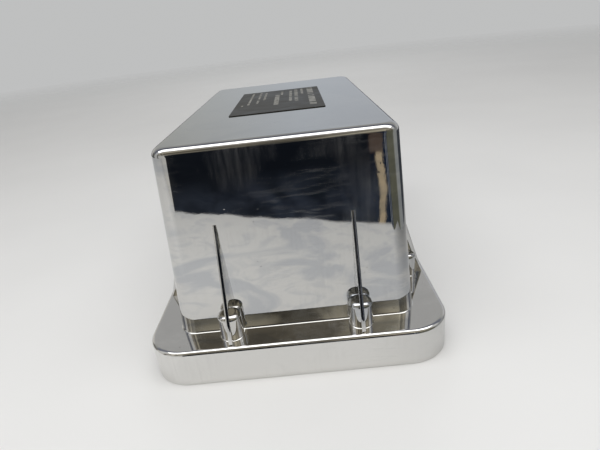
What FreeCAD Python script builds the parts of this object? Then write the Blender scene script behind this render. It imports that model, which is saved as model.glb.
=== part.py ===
"""Chromed, flanged equipment housing with a small mains transformer inside.

A drafted box with a closed top stands on a skirted flange. Ten blind screw
bosses stand on the flange, two to a short end and three to a long side, each
split by a tall thin gusset. A steel base plate closes the skirt from below,
bears on a gasket, and carries the transformer, its terminal strip, fuse, earth
stud, cable grommet and leads. The rating plate is stuck to the middle of the top.

Frame: millimetres, +Z up, X across the case, Y along it, origin on the ground
under the middle of the case. Each sub-part is written to parts/NODE.step.
"""

import FreeCAD
import Part

import math
import os

Vec = FreeCAD.Vector

# ---- Housing: drafted box -------------------------------------------------
TOP_WIDTH = 100.0  # outer width at the closed top, before its edges are rounded
TOP_LENGTH = 186.0  # outer length at the closed top
BOX_HEIGHT = 85.0  # flange top to closed top
DRAFT_DEG = 2.7
WALL = 2.5
TOP_EDGE_RADIUS = 4.0
CORNER_RADIUS = 7.5  # the four upright corners, outside

# ---- Housing: skirted flange ----------------------------------------------
LEDGE = 14.0  # flat width of the flange outside the box wall
FLANGE_THICKNESS = 3.0
SKIRT_HEIGHT = 17.5  # ground to flange top
SKIRT_WALL = 3.6
SKIRT_LIP = 1.6  # thinner wall below the base plate's shoulder
FLANGE_CORNER_RADIUS = 18.5
FLANGE_EDGE_RADIUS = 2.0

# ---- Housing: bosses and gussets ------------------------------------------
BOSS_RADIUS = 5.2
BOSS_HEIGHT = 12.0  # above the flange top
BOSS_ROUNDING = 2.4
BOSS_FROM_WALL = 3.3  # boss axis to the foot of the box wall
BOSS_CAP = 2.4  # metal left above the blind bore
BOSS_WEB_THICKNESS = 4.0  # rib from each boss to the skirt, under the flange
END_BOSS_SPACING = 58.0  # the two bosses on each short end
SIDE_BOSS_INSET = 35.0  # outer side bosses, from the foot of the end wall
GUSSET_THICKNESS = 1.7
GUSSET_HEIGHT = 51.5
GUSSET_TOE_GAP = 0.4  # toe to the start of the flange's rounded edge
GUSSET_TOE_HEIGHT = 0.8
ROOT_DEPTH = 1.2  # how far a gusset runs into the metal it joins

# ---- Base plate, gasket and closing screws --------------------------------
PLATE_THICKNESS = 2.0
PLATE_RECESS = 5.0  # ground to the underside of the plate
PLATE_CLEARANCE = 0.3
GASKET_THICKNESS = 1.0
GASKET_INNER_MARGIN = 0.5  # the gasket's inner edge stands outside the box's inner wall
SCREW_RADIUS = 2.0  # M4
SCREW_CLEARANCE = 0.05
SCREW_HOLE_CLEARANCE = 0.25
SCREW_TIP_GAP = 1.2
PAN_HEAD_RADIUS = 3.9
PAN_HEAD_HEIGHT = 2.5
PAN_HEAD_ROUNDING = 1.0
CROSS_RECESS_WIDTH = 1.0
CROSS_RECESS_LENGTH = 4.2
CROSS_RECESS_DEPTH = 1.4
SPRING_WASHER_THICKNESS = 1.0
SPRING_WASHER_RADIUS = 3.6
SPRING_WASHER_SPLIT = 0.9
NUT_ACROSS_FLATS = 7.0  # M4
NUT_HEIGHT = 3.2
THREAD_SHOWING = 1.0  # screw left past its nut

# ---- Press nuts for the buyer's bolts -------------------------------------
MOUNT_NUT_INSET = 12.0  # from the inner foot of the walls
MOUNT_NUT_BORE = 2.1  # M5 thread, at its minor radius
MOUNT_NUT_SHANK = 3.2
MOUNT_NUT_HEAD = 4.6
MOUNT_NUT_HEIGHT = 4.0

# ---- Rating plate ---------------------------------------------------------
LABEL_WIDTH = 49.0
LABEL_LENGTH = 81.0
LABEL_THICKNESS = 0.4
LABEL_CORNER_RADIUS = 0.6
LABEL_OFFSET_Y = 3.0

# ---- Transformer ----------------------------------------------------------
CORE_SIDE_CLEARANCE = 8.5  # core to the inner wall, at the core's foot
CORE_STACK = 40.0
COIL_END_CLEARANCE = 22.0  # rear coil face to the inner end wall
COIL_GAP = 0.5  # bobbin to core
BOBBIN_WALL = 1.2
BOBBIN_FLANGE = 1.4
BOBBIN_CORNER_RADIUS = 2.0
WINDING_INSET = 1.6  # winding surface inside the bobbin flange's rim
WINDING_GAP = 0.15
WRAP_THICKNESS = 0.35
TAG_RADIUS = 0.6
TAG_LENGTH = 4.0
TAG_PITCH = 10.0
BRACKET_THICKNESS = 2.0
BRACKET_COIL_GAP = 1.0  # top of the bracket to the underside of the coil window
BRACKET_FOOT = 13.0
BRACKET_SCREW_SPACING = 62.0
BRACKET_BEND_RADIUS = 1.0

# ---- Terminal strip, fuse, earth and grommet ------------------------------
TERMINAL_PITCH = 9.5
TERMINAL_DEPTH = 22.0
TERMINAL_BODY_HEIGHT = 8.0
BARRIER_HEIGHT = 6.0
BARRIER_THICKNESS = 1.4
TERMINAL_EAR = 8.0
TERMINAL_END_CLEARANCE = 4.0  # least room between an ear and the inner wall
TERMINAL_EAR_HEIGHT = 4.0
TERMINAL_ROW_GAP = 28.0  # terminal strip to the service row in front of it
LINK_THICKNESS = 0.8
LINK_SIDE_GAP = 0.4
LINK_END_GAP = 1.2
TERMINAL_SCREW_RADIUS = 1.4
TERMINAL_SCREW_HEAD = 2.6
TERMINAL_SCREW_HEAD_HEIGHT = 1.8
TERMINAL_SCREW_DEPTH = 5.0
SLOT_WIDTH = 0.8
SLOT_DEPTH = 0.8
SERVICE_ROW_INSET = 26.0  # fuse, earth stud and grommet, from the inner end wall
FUSE_X = 10.0
FUSE_LENGTH = 20.0
FUSE_RADIUS = 2.6
FUSE_CAP_LENGTH = 5.0
FUSE_CAP_WALL = 0.2
FUSE_BASE_MARGIN = 6.0
FUSE_BASE_WIDTH = 12.0
FUSE_BASE_HEIGHT = 4.0
FUSE_BASE_CORNER_RADIUS = 1.5
FUSE_BASE_CAP = 0.8  # plastic left above the blind hole
THREAD_GAP = 0.2  # screw tip to the end of that hole
FUSE_GLASS_WALL = 0.6
FUSE_AXIS_HEIGHT = 5.0  # above the fuse base
CLIP_THICKNESS = 0.6
CLIP_WIDTH = 4.0
CLIP_CLEARANCE = 0.05
EARTH_X = 36.0
EARTH_STUD_HEIGHT = 16.0
EARTH_TAG_RADIUS = 4.4
EARTH_TAG_THICKNESS = 0.8
EARTH_TAG_LENGTH = 11.0
EARTH_TAG_BARREL = 2.6
GROMMET_X = -28.0
GROMMET_BORE = 6.0
GROMMET_WALL = 2.0  # rubber left in the plate's hole
GROMMET_LIP = 2.0
GROMMET_LIP_HEIGHT = 2.0

# ---- Leads ----------------------------------------------------------------
LEAD_RADIUS = 0.9
LEAD_REST = 0.05  # lead to the link it lies on
LEAD_SCREW_GAP = 0.5  # lead end to the screw head
LEAD_SAG = 2.0  # how high each lead arches before it comes down to its screw

# ---- Heights and plan sizes worked out from the driving dimensions --------
TAN_DRAFT = math.tan(math.radians(DRAFT_DEG))
CASE_HEIGHT = SKIRT_HEIGHT + BOX_HEIGHT
FOOT_WIDTH = TOP_WIDTH + 2 * BOX_HEIGHT * TAN_DRAFT  # box at the flange top
FOOT_LENGTH = TOP_LENGTH + 2 * BOX_HEIGHT * TAN_DRAFT
FLANGE_WIDTH = FOOT_WIDTH + 2 * LEDGE
FLANGE_LENGTH = FOOT_LENGTH + 2 * LEDGE
FLANGE_UNDERSIDE = SKIRT_HEIGHT - FLANGE_THICKNESS
INNER_WIDTH = FOOT_WIDTH - 2 * WALL
INNER_LENGTH = FOOT_LENGTH - 2 * WALL
PLATE_TOP = PLATE_RECESS + PLATE_THICKNESS
SHOULDER = PLATE_TOP + GASKET_THICKNESS
PLATE_WIDTH = FLANGE_WIDTH - 2 * (SKIRT_LIP + PLATE_CLEARANCE)
PLATE_LENGTH = FLANGE_LENGTH - 2 * (SKIRT_LIP + PLATE_CLEARANCE)
PLATE_RADIUS = FLANGE_CORNER_RADIUS - SKIRT_LIP - PLATE_CLEARANCE
BOSS_TOP = SKIRT_HEIGHT + BOSS_HEIGHT
BORE_TOP = BOSS_TOP - BOSS_CAP
BORE_RADIUS = SCREW_RADIUS + SCREW_CLEARANCE
SCREW_HOLE_RADIUS = SCREW_RADIUS + SCREW_HOLE_CLEARANCE

# EI laminations: the plan proportions of every scrapless E and I pair.
CORE_WIDTH = INNER_WIDTH - 2 * CORE_SIDE_CLEARANCE
LIMB = CORE_WIDTH / 6
CORE_HEIGHT = 5 * LIMB
WINDOW_HEIGHT = 3 * LIMB
CORE_HOLE_INSET = LIMB / 2
BRACKET_UPRIGHT = LIMB - BRACKET_COIL_GAP
COIL_WIDTH = 4 * LIMB - 2 * COIL_GAP
COIL_DEPTH = CORE_STACK + 2 * (LIMB - COIL_GAP)
CORE_Y = INNER_LENGTH / 2 - COIL_END_CLEARANCE - COIL_DEPTH / 2
CORE_FOOT = PLATE_TOP
COIL_LOW = CORE_FOOT + LIMB + COIL_GAP
COIL_HIGH = CORE_FOOT + LIMB + WINDOW_HEIGHT - COIL_GAP
COIL_MIDDLE = (COIL_LOW + COIL_HIGH) / 2

SERVICE_Y = -(INNER_LENGTH / 2 - SERVICE_ROW_INSET)
TERMINAL_Y = SERVICE_Y + TERMINAL_ROW_GAP
TERMINAL_ROOM = INNER_WIDTH - 2 * (TERMINAL_EAR + TERMINAL_END_CLEARANCE) - BARRIER_THICKNESS
TERMINAL_WAYS = int(TERMINAL_ROOM // TERMINAL_PITCH)
TERMINAL_LENGTH = TERMINAL_WAYS * TERMINAL_PITCH + BARRIER_THICKNESS
TAGS_PER_ROW = TERMINAL_WAYS // 2
TERMINAL_DECK = PLATE_TOP + TERMINAL_BODY_HEIGHT
GROMMET_HOLE = GROMMET_BORE + GROMMET_WALL


# ---- Shape helpers --------------------------------------------------------
def block(x_low, x_high, y_low, y_high, z_low, z_high):
    """A rectangular solid between two corners."""
    return Part.makeBox(x_high - x_low, y_high - y_low, z_high - z_low, Vec(x_low, y_low, z_low))


def centred_block(width, length, z_low, z_high, x=0.0, y=0.0):
    """A rectangular solid centred on (x, y) in plan."""
    return block(x - width / 2, x + width / 2, y - length / 2, y + length / 2, z_low, z_high)


def post(radius, x, y, z_low, z_high):
    """An upright cylinder."""
    return Part.makeCylinder(radius, z_high - z_low, Vec(x, y, z_low))


def bar(radius, start, axis, length):
    """A cylinder from a point along an axis."""
    return Part.makeCylinder(radius, length, start, axis)


def is_upright(edge):
    """True for an edge whose ends are at different heights."""
    return abs(edge.Vertexes[0].Z - edge.Vertexes[-1].Z) > 1e-6


def edges_at(shape, height):
    """The edges that lie at one height."""
    return [e for e in shape.Edges if all(abs(v.Z - height) < 1e-6 for v in e.Vertexes)]


def rounded_block(width, length, radius, z_low, z_high, x=0.0, y=0.0):
    """A rectangular solid with its four upright edges rounded."""
    solid = centred_block(width, length, z_low, z_high, x, y)
    return solid.makeFillet(radius, [e for e in solid.Edges if is_upright(e)])


def solid_from_faces(rings):
    """A closed solid whose planar faces are given by their corner points."""
    faces = [Part.Face(Part.makePolygon(ring + [ring[0]])) for ring in rings]
    return Part.makeSolid(Part.makeShell(faces))


def drafted_block(top_width, top_length, z_low, z_high):
    """A block whose walls lean in towards the top by the draft angle."""

    def corners(z):
        grow = (z_high - z) * TAN_DRAFT
        x = top_width / 2 + grow
        y = top_length / 2 + grow
        return [Vec(-x, -y, z), Vec(x, -y, z), Vec(x, y, z), Vec(-x, y, z)]

    low, high = corners(z_low), corners(z_high)
    sides = [[low[i], low[(i + 1) % 4], high[(i + 1) % 4], high[i]] for i in range(4)]
    return solid_from_faces([low[::-1], high] + sides)


def rounded_drafted_block(top_width, top_length, z_low, z_high, corner, top_edge):
    """A drafted block with rounded upright corners and a rounded top edge."""
    solid = drafted_block(top_width, top_length, z_low, z_high)
    solid = solid.makeFillet(corner, [e for e in solid.Edges if is_upright(e)])
    return solid.makeFillet(top_edge, edges_at(solid, z_high))


def prism(points, direction):
    """The solid swept by a flat outline along a vector."""
    return Part.Face(Part.makePolygon(points + [points[0]])).extrude(direction)


def hex_nut(x, y, z_low, height, across_flats, bore):
    """An upright hexagon nut."""
    corner = across_flats / math.sqrt(3)
    points = [
        Vec(x + corner * math.cos(math.radians(a)), y + corner * math.sin(math.radians(a)), z_low)
        for a in range(0, 360, 60)
    ]
    nut = prism(points, Vec(0, 0, height))
    return nut.cut(post(bore, x, y, z_low, z_low + height))


def pan_screw(x, y, head_side, seat, tip):
    """An upright pan-head screw: its head seats at one height and its tip reaches another.

    head_side is -1 where the head is below its seat, and 1 where it is above.
    """
    head_far = seat + head_side * PAN_HEAD_HEIGHT
    head = post(PAN_HEAD_RADIUS, x, y, min(seat, head_far), max(seat, head_far))
    head = head.makeFillet(PAN_HEAD_ROUNDING, edges_at(head, head_far))
    recess_low = min(head_far, head_far - head_side * CROSS_RECESS_DEPTH)
    recess_high = recess_low + CROSS_RECESS_DEPTH
    for width, length in (
        (CROSS_RECESS_WIDTH, CROSS_RECESS_LENGTH),
        (CROSS_RECESS_LENGTH, CROSS_RECESS_WIDTH),
    ):
        head = head.cut(centred_block(width, length, recess_low, recess_high, x, y))
    shank = post(SCREW_RADIUS, x, y, min(seat, tip), max(seat, tip))
    return head.fuse(shank).removeSplitter()


def spring_washer(x, y, z_low):
    """A split ring."""
    ring = post(SPRING_WASHER_RADIUS, x, y, z_low, z_low + SPRING_WASHER_THICKNESS)
    ring = ring.cut(post(BORE_RADIUS, x, y, z_low, z_low + SPRING_WASHER_THICKNESS))
    split = centred_block(
        SPRING_WASHER_SPLIT,
        SPRING_WASHER_RADIUS,
        z_low,
        z_low + SPRING_WASHER_THICKNESS,
        x,
        y + SPRING_WASHER_RADIUS * 0.75,
    )
    return ring.cut(split)


def tube_along(points, radius):
    """A round tube along straight runs joined by tangent arcs."""
    edges = []
    start = points[0]
    for before, corner, after in zip(points, points[1:], points[2:]):
        arm_in = before.sub(corner)
        arm_out = after.sub(corner)
        turn = math.pi - arm_in.getAngle(arm_out)
        reach = 0.45 * min(arm_in.Length, arm_out.Length)
        unit_in = Vec(arm_in).normalize()
        unit_out = Vec(arm_out).normalize()
        arc_radius = reach / math.tan(turn / 2)
        begin = corner.add(Vec(unit_in).multiply(reach))
        end = corner.add(Vec(unit_out).multiply(reach))
        bisector = unit_in.add(unit_out).normalize()
        centre = corner.add(Vec(bisector).multiply(arc_radius / math.cos(turn / 2)))
        middle = centre.sub(Vec(bisector).multiply(arc_radius))
        edges.append(Part.LineSegment(start, begin).toShape())
        edges.append(Part.Arc(begin, middle, end).toShape())
        start = end
    edges.append(Part.LineSegment(start, points[-1]).toShape())
    path = Part.Wire(edges)
    first_run = points[1].sub(points[0])
    profile = Part.Wire([Part.makeCircle(radius, points[0], first_run)])
    tube = path.makePipeShell([profile], True, False)
    return tube if tube.ShapeType == "Solid" else tube.Solids[0]


def mirrored_pairs(x, y):
    """The four places that share an x and a y distance from the middle."""
    return [(sx * x, sy * y) for sx in (-1, 1) for sy in (-1, 1)]


# ---- Places shared by several sub-parts -----------------------------------
def end_boss_places():
    """Axes of the four bosses on the short ends."""
    return mirrored_pairs(END_BOSS_SPACING / 2, FOOT_LENGTH / 2 + BOSS_FROM_WALL)


def side_boss_places():
    """Axes of the six bosses on the long sides: two outer ones and a middle one each."""
    x = FOOT_WIDTH / 2 + BOSS_FROM_WALL
    return mirrored_pairs(x, FOOT_LENGTH / 2 - SIDE_BOSS_INSET) + [(-x, 0), (x, 0)]


def boss_places():
    """Axes of all ten bosses, which the closing screws share."""
    return end_boss_places() + side_boss_places()


def mount_nut_places():
    """Axes of the four press nuts that take the buyer's bolts."""
    return mirrored_pairs(INNER_WIDTH / 2 - MOUNT_NUT_INSET, INNER_LENGTH / 2 - MOUNT_NUT_INSET)


def bracket_screw_places():
    """Axes of the screws that hold the two core brackets down."""
    reach = CORE_STACK / 2 + BRACKET_THICKNESS + BRACKET_FOOT / 2
    return [(x, CORE_Y + y) for x, y in mirrored_pairs(BRACKET_SCREW_SPACING / 2, reach)]


def core_bolt_places():
    """Corners of the core that its through bolts pass, as x and z."""
    x = CORE_WIDTH / 2 - CORE_HOLE_INSET
    return [
        (sx * x, z)
        for sx in (-1, 1)
        for z in (CORE_FOOT + CORE_HOLE_INSET, CORE_FOOT + CORE_HEIGHT - CORE_HOLE_INSET)
    ]


def terminal_x(way):
    """Middle of one way of the terminal strip."""
    return (way - (TERMINAL_WAYS - 1) / 2) * TERMINAL_PITCH


def strip_fixing_places():
    """The two fixing screws in the terminal strip's ears."""
    x = TERMINAL_LENGTH / 2 + TERMINAL_EAR / 2
    return [(-x, TERMINAL_Y), (x, TERMINAL_Y)]


# ---- Housing --------------------------------------------------------------
def boss(x, y):
    """One screw boss, from the gasket up through the flange to its rounded top."""
    solid = post(BOSS_RADIUS, x, y, SHOULDER, BOSS_TOP)
    return solid.makeFillet(BOSS_ROUNDING, edges_at(solid, BOSS_TOP))


def boss_web(x, y, out_x, out_y):
    """A rib under the flange that ties a boss to the skirt; (out_x, out_y) points at the skirt."""
    reach = LEDGE - BOSS_FROM_WALL - SKIRT_WALL / 2
    half = BOSS_WEB_THICKNESS / 2
    xs = sorted((x, x + out_x * reach))
    ys = sorted((y, y + out_y * reach))
    half_x, half_y = half * abs(out_y), half * abs(out_x)
    return block(
        xs[0] - half_x,
        xs[1] + half_x,
        ys[0] - half_y,
        ys[1] + half_y,
        SHOULDER,
        FLANGE_UNDERSIDE + FLANGE_THICKNESS / 2,
    )


def gusset_outline():
    """The gusset's outline as (distance out from the wall's foot, height)."""
    toe = LEDGE - FLANGE_EDGE_RADIUS - GUSSET_TOE_GAP
    apex = -GUSSET_HEIGHT * TAN_DRAFT
    apex_z = SKIRT_HEIGHT + GUSSET_HEIGHT
    root_z = SKIRT_HEIGHT - ROOT_DEPTH
    return [
        (-ROOT_DEPTH, root_z),
        (toe, root_z),
        (toe, SKIRT_HEIGHT + GUSSET_TOE_HEIGHT),
        (apex, apex_z),
        (apex - ROOT_DEPTH, apex_z),
    ]


def end_gusset(x, side):
    """A gusset on a short end; side is -1 at the front and 1 at the rear."""
    half = GUSSET_THICKNESS / 2
    wall = FOOT_LENGTH / 2
    points = [Vec(x - half, side * (wall + out), z) for out, z in gusset_outline()]
    return prism(points, Vec(GUSSET_THICKNESS, 0, 0))


def side_gusset(y, side):
    """A gusset on a long side; side is -1 at the left and 1 at the right."""
    half = GUSSET_THICKNESS / 2
    wall = FOOT_WIDTH / 2
    points = [Vec(side * (wall + out), y - half, z) for out, z in gusset_outline()]
    return prism(points, Vec(0, GUSSET_THICKNESS, 0))


def housing_shell():
    """The one-piece casting: box, flange, skirt, bosses and gussets."""
    flange = rounded_block(FLANGE_WIDTH, FLANGE_LENGTH, FLANGE_CORNER_RADIUS, 0, SKIRT_HEIGHT)
    flange = flange.makeFillet(FLANGE_EDGE_RADIUS, edges_at(flange, SKIRT_HEIGHT))
    flange = flange.cut(
        rounded_block(
            FLANGE_WIDTH - 2 * SKIRT_WALL,
            FLANGE_LENGTH - 2 * SKIRT_WALL,
            FLANGE_CORNER_RADIUS - SKIRT_WALL,
            0,
            FLANGE_UNDERSIDE,
        )
    )
    flange = flange.cut(
        rounded_block(
            FLANGE_WIDTH - 2 * SKIRT_LIP,
            FLANGE_LENGTH - 2 * SKIRT_LIP,
            FLANGE_CORNER_RADIUS - SKIRT_LIP,
            0,
            SHOULDER,
        )
    )
    outer = rounded_drafted_block(
        TOP_WIDTH, TOP_LENGTH, FLANGE_UNDERSIDE, CASE_HEIGHT, CORNER_RADIUS, TOP_EDGE_RADIUS
    )
    inner = rounded_drafted_block(
        TOP_WIDTH - 2 * WALL,
        TOP_LENGTH - 2 * WALL,
        FLANGE_UNDERSIDE - ROOT_DEPTH,
        CASE_HEIGHT - WALL,
        CORNER_RADIUS - WALL,
        TOP_EDGE_RADIUS - WALL,
    )
    added = [outer]
    added += [boss(x, y) for x, y in boss_places()]
    added += [boss_web(x, y, 0, math.copysign(1, y)) for x, y in end_boss_places()]
    added += [boss_web(x, y, math.copysign(1, x), 0) for x, y in side_boss_places()]
    added += [end_gusset(x, math.copysign(1, y)) for x, y in end_boss_places()]
    added += [side_gusset(y, math.copysign(1, x)) for x, y in side_boss_places()]
    solid = flange.multiFuse(added).cut(inner)
    for x, y in boss_places():
        solid = solid.cut(post(BORE_RADIUS, x, y, SHOULDER, BORE_TOP))
    return solid.removeSplitter()


def rating_plate():
    """The thin plate stuck to the middle of the top."""
    return rounded_block(
        LABEL_WIDTH,
        LABEL_LENGTH,
        LABEL_CORNER_RADIUS,
        CASE_HEIGHT,
        CASE_HEIGHT + LABEL_THICKNESS,
        0,
        LABEL_OFFSET_Y,
    )


# ---- Base plate and what closes it ----------------------------------------
def base_plate():
    """The flat steel plate that closes the skirt and carries everything inside."""
    solid = rounded_block(PLATE_WIDTH, PLATE_LENGTH, PLATE_RADIUS, PLATE_RECESS, PLATE_TOP)
    holes = [(SCREW_HOLE_RADIUS, place) for place in boss_places() + bracket_screw_places()]
    holes += [(SCREW_HOLE_RADIUS, place) for place in strip_fixing_places()]
    holes += [(SCREW_HOLE_RADIUS, (FUSE_X, SERVICE_Y)), (SCREW_RADIUS, (EARTH_X, SERVICE_Y))]
    holes += [(MOUNT_NUT_SHANK, place) for place in mount_nut_places()]
    holes += [(GROMMET_HOLE, (GROMMET_X, SERVICE_Y))]
    for radius, (x, y) in holes:
        solid = solid.cut(post(radius, x, y, PLATE_RECESS, PLATE_TOP))
    return solid


def base_gasket():
    """The flat rubber frame between the plate, the skirt's shoulder and the bosses."""
    solid = rounded_block(PLATE_WIDTH, PLATE_LENGTH, PLATE_RADIUS, PLATE_TOP, SHOULDER)
    solid = solid.cut(
        rounded_block(
            INNER_WIDTH + 2 * GASKET_INNER_MARGIN,
            INNER_LENGTH + 2 * GASKET_INNER_MARGIN,
            CORNER_RADIUS,
            PLATE_TOP,
            SHOULDER,
        )
    )
    for x, y in boss_places():
        solid = solid.cut(post(SCREW_HOLE_RADIUS, x, y, PLATE_TOP, SHOULDER))
    return solid


def base_screws():
    """The ten screws that hold the plate up into the bosses."""
    seat = PLATE_RECESS - SPRING_WASHER_THICKNESS
    return [pan_screw(x, y, -1, seat, BORE_TOP - SCREW_TIP_GAP) for x, y in boss_places()]


def base_washers():
    """A spring washer under each closing screw's head."""
    low = PLATE_RECESS - SPRING_WASHER_THICKNESS
    return [spring_washer(x, y, low) for x, y in boss_places()]


def mount_nuts():
    """Four press nuts in the plate, open from below."""
    nuts = []
    for x, y in mount_nut_places():
        nut = post(MOUNT_NUT_SHANK, x, y, PLATE_RECESS, PLATE_TOP)
        nut = nut.fuse(post(MOUNT_NUT_HEAD, x, y, PLATE_TOP, PLATE_TOP + MOUNT_NUT_HEIGHT))
        bore = post(MOUNT_NUT_BORE, x, y, PLATE_RECESS, PLATE_TOP + MOUNT_NUT_HEIGHT)
        nuts.append(nut.cut(bore).removeSplitter())
    return nuts


# ---- Transformer ----------------------------------------------------------
def core_stack():
    """The stack of E and I laminations, with its two windows and four bolt holes."""
    front = CORE_Y - CORE_STACK / 2
    rear = CORE_Y + CORE_STACK / 2
    solid = block(-CORE_WIDTH / 2, CORE_WIDTH / 2, front, rear, CORE_FOOT, CORE_FOOT + CORE_HEIGHT)
    for side in (-1, 1):
        inner, outer = sorted((side * LIMB, side * 2 * LIMB))
        low = CORE_FOOT + LIMB
        solid = solid.cut(block(inner, outer, front, rear, low, low + WINDOW_HEIGHT))
    for x, z in core_bolt_places():
        solid = solid.cut(bar(SCREW_HOLE_RADIUS, Vec(x, front, z), Vec(0, 1, 0), CORE_STACK))
    return solid


def coil_ring(inset, wall_outside_leg, z_low, z_high):
    """A rounded rectangular ring round the middle leg, inset from the coil's outline."""
    outer = rounded_block(
        COIL_WIDTH - 2 * inset,
        COIL_DEPTH - 2 * inset,
        BOBBIN_CORNER_RADIUS,
        z_low,
        z_high,
        0,
        CORE_Y,
    )
    width = 2 * (LIMB + COIL_GAP + wall_outside_leg)
    depth = CORE_STACK + 2 * (COIL_GAP + wall_outside_leg)
    return outer.cut(centred_block(width, depth, z_low, z_high, 0, CORE_Y))


def bobbin():
    """The moulded former: a square tube with a flange at each end and in the middle."""
    half = BOBBIN_FLANGE / 2
    tube_inset = (COIL_WIDTH - 2 * (LIMB + COIL_GAP + BOBBIN_WALL)) / 2
    parts = [coil_ring(0, 0, z, z + BOBBIN_FLANGE) for z in (COIL_LOW, COIL_HIGH - BOBBIN_FLANGE)]
    parts.append(coil_ring(0, 0, COIL_MIDDLE - half, COIL_MIDDLE + half))
    tube = centred_block(
        COIL_WIDTH - 2 * tube_inset,
        CORE_STACK + 2 * (COIL_GAP + BOBBIN_WALL),
        COIL_LOW,
        COIL_HIGH,
        0,
        CORE_Y,
    )
    width = 2 * (LIMB + COIL_GAP)
    depth = CORE_STACK + 2 * COIL_GAP
    tube = tube.cut(centred_block(width, depth, COIL_LOW, COIL_HIGH, 0, CORE_Y))
    return tube.multiFuse(parts).removeSplitter()


def winding(z_low, z_high):
    """One winding, which fills its section of the bobbin."""
    inset = WINDING_INSET + WRAP_THICKNESS
    return coil_ring(inset, BOBBIN_WALL + WINDING_GAP, z_low + WINDING_GAP, z_high - WINDING_GAP)


def primary_winding():
    """The winding in the lower section."""
    return winding(COIL_LOW + BOBBIN_FLANGE, COIL_MIDDLE - BOBBIN_FLANGE / 2)


def secondary_winding():
    """The winding in the upper section."""
    return winding(COIL_MIDDLE + BOBBIN_FLANGE / 2, COIL_HIGH - BOBBIN_FLANGE)


def winding_wraps():
    """The tape round each winding."""
    wraps = []
    for low, high in (
        (COIL_LOW + BOBBIN_FLANGE, COIL_MIDDLE - BOBBIN_FLANGE / 2),
        (COIL_MIDDLE + BOBBIN_FLANGE / 2, COIL_HIGH - BOBBIN_FLANGE),
    ):
        low, high = low + WINDING_GAP, high - WINDING_GAP
        outer = rounded_block(
            COIL_WIDTH - 2 * WINDING_INSET,
            COIL_DEPTH - 2 * WINDING_INSET,
            BOBBIN_CORNER_RADIUS,
            low,
            high,
            0,
            CORE_Y,
        )
        inset = WINDING_INSET + WRAP_THICKNESS
        inner = rounded_block(
            COIL_WIDTH - 2 * inset,
            COIL_DEPTH - 2 * inset,
            BOBBIN_CORNER_RADIUS,
            low,
            high,
            0,
            CORE_Y,
        )
        wraps.append(outer.cut(inner))
    return wraps


def tag_places():
    """Roots of the solder tags on the bobbin's front edge, as x and z, low row first."""
    front_z = (COIL_LOW + BOBBIN_FLANGE / 2, COIL_HIGH - BOBBIN_FLANGE / 2)
    return [
        ((i - (TAGS_PER_ROW - 1) / 2) * TAG_PITCH, z) for z in front_z for i in range(TAGS_PER_ROW)
    ]


COIL_FRONT = CORE_Y - COIL_DEPTH / 2


def solder_tags():
    """Eight round tags pressed into the bobbin's flanges."""
    start = COIL_FRONT - TAG_LENGTH
    return [bar(TAG_RADIUS, Vec(x, start, z), Vec(0, 1, 0), TAG_LENGTH) for x, z in tag_places()]


def core_bracket(side):
    """An angle bracket along one face of the core; side is -1 at the front."""
    face = CORE_Y + side * CORE_STACK / 2
    outline = [
        (0, 0),
        (BRACKET_THICKNESS + BRACKET_FOOT, 0),
        (BRACKET_THICKNESS + BRACKET_FOOT, BRACKET_THICKNESS),
        (BRACKET_THICKNESS, BRACKET_THICKNESS),
        (BRACKET_THICKNESS, BRACKET_UPRIGHT),
        (0, BRACKET_UPRIGHT),
    ]
    points = [Vec(-CORE_WIDTH / 2, face + side * out, PLATE_TOP + z) for out, z in outline]
    solid = prism(points, Vec(CORE_WIDTH, 0, 0))
    bend = [
        e
        for e in solid.Edges
        if all(
            abs(v.Y - (face + side * BRACKET_THICKNESS)) < 1e-6
            and abs(v.Z - PLATE_TOP - BRACKET_THICKNESS) < 1e-6
            for v in e.Vertexes
        )
    ]
    solid = solid.makeFillet(BRACKET_BEND_RADIUS, bend)
    for x, z in core_bolt_places():
        if z < CORE_FOOT + BRACKET_UPRIGHT:
            start = Vec(x, face if side > 0 else face - BRACKET_THICKNESS, z)
            solid = solid.cut(bar(SCREW_HOLE_RADIUS, start, Vec(0, 1, 0), BRACKET_THICKNESS))
    for x, y in bracket_screw_places():
        if (y - CORE_Y) * side > 0:
            foot_top = PLATE_TOP + BRACKET_THICKNESS
            solid = solid.cut(post(SCREW_HOLE_RADIUS, x, y, PLATE_TOP, foot_top))
    return solid


def front_bracket():
    """The bracket on the terminal side of the core."""
    return core_bracket(-1)


def rear_bracket():
    """The bracket on the far side of the core."""
    return core_bracket(1)


def core_bolt(x, z):
    """A through bolt along Y, and the nut on its rear end."""
    clamped = z < CORE_FOOT + BRACKET_UPRIGHT
    reach = CORE_STACK / 2 + (BRACKET_THICKNESS if clamped else 0)
    turn = FreeCAD.Rotation(Vec(1, 0, 0), -90)
    bolt = pan_screw(0, 0, -1, -reach, reach + NUT_HEIGHT + THREAD_SHOWING)
    nut = hex_nut(0, 0, reach, NUT_HEIGHT, NUT_ACROSS_FLATS, BORE_RADIUS)
    place = FreeCAD.Placement(Vec(x, CORE_Y, z), turn)
    bolt.Placement = place
    nut.Placement = place
    return bolt, nut


def core_bolts():
    """The four bolts through the core."""
    return [core_bolt(x, z)[0] for x, z in core_bolt_places()]


def core_nuts():
    """The nuts behind the core."""
    return [core_bolt(x, z)[1] for x, z in core_bolt_places()]


def chassis_fixings():
    """Each chassis screw's axis, and the height of the foot or ear that its nut bears on."""
    fixings = [(x, y, PLATE_TOP + BRACKET_THICKNESS) for x, y in bracket_screw_places()]
    return fixings + [(x, y, PLATE_TOP + TERMINAL_EAR_HEIGHT) for x, y in strip_fixing_places()]


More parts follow.
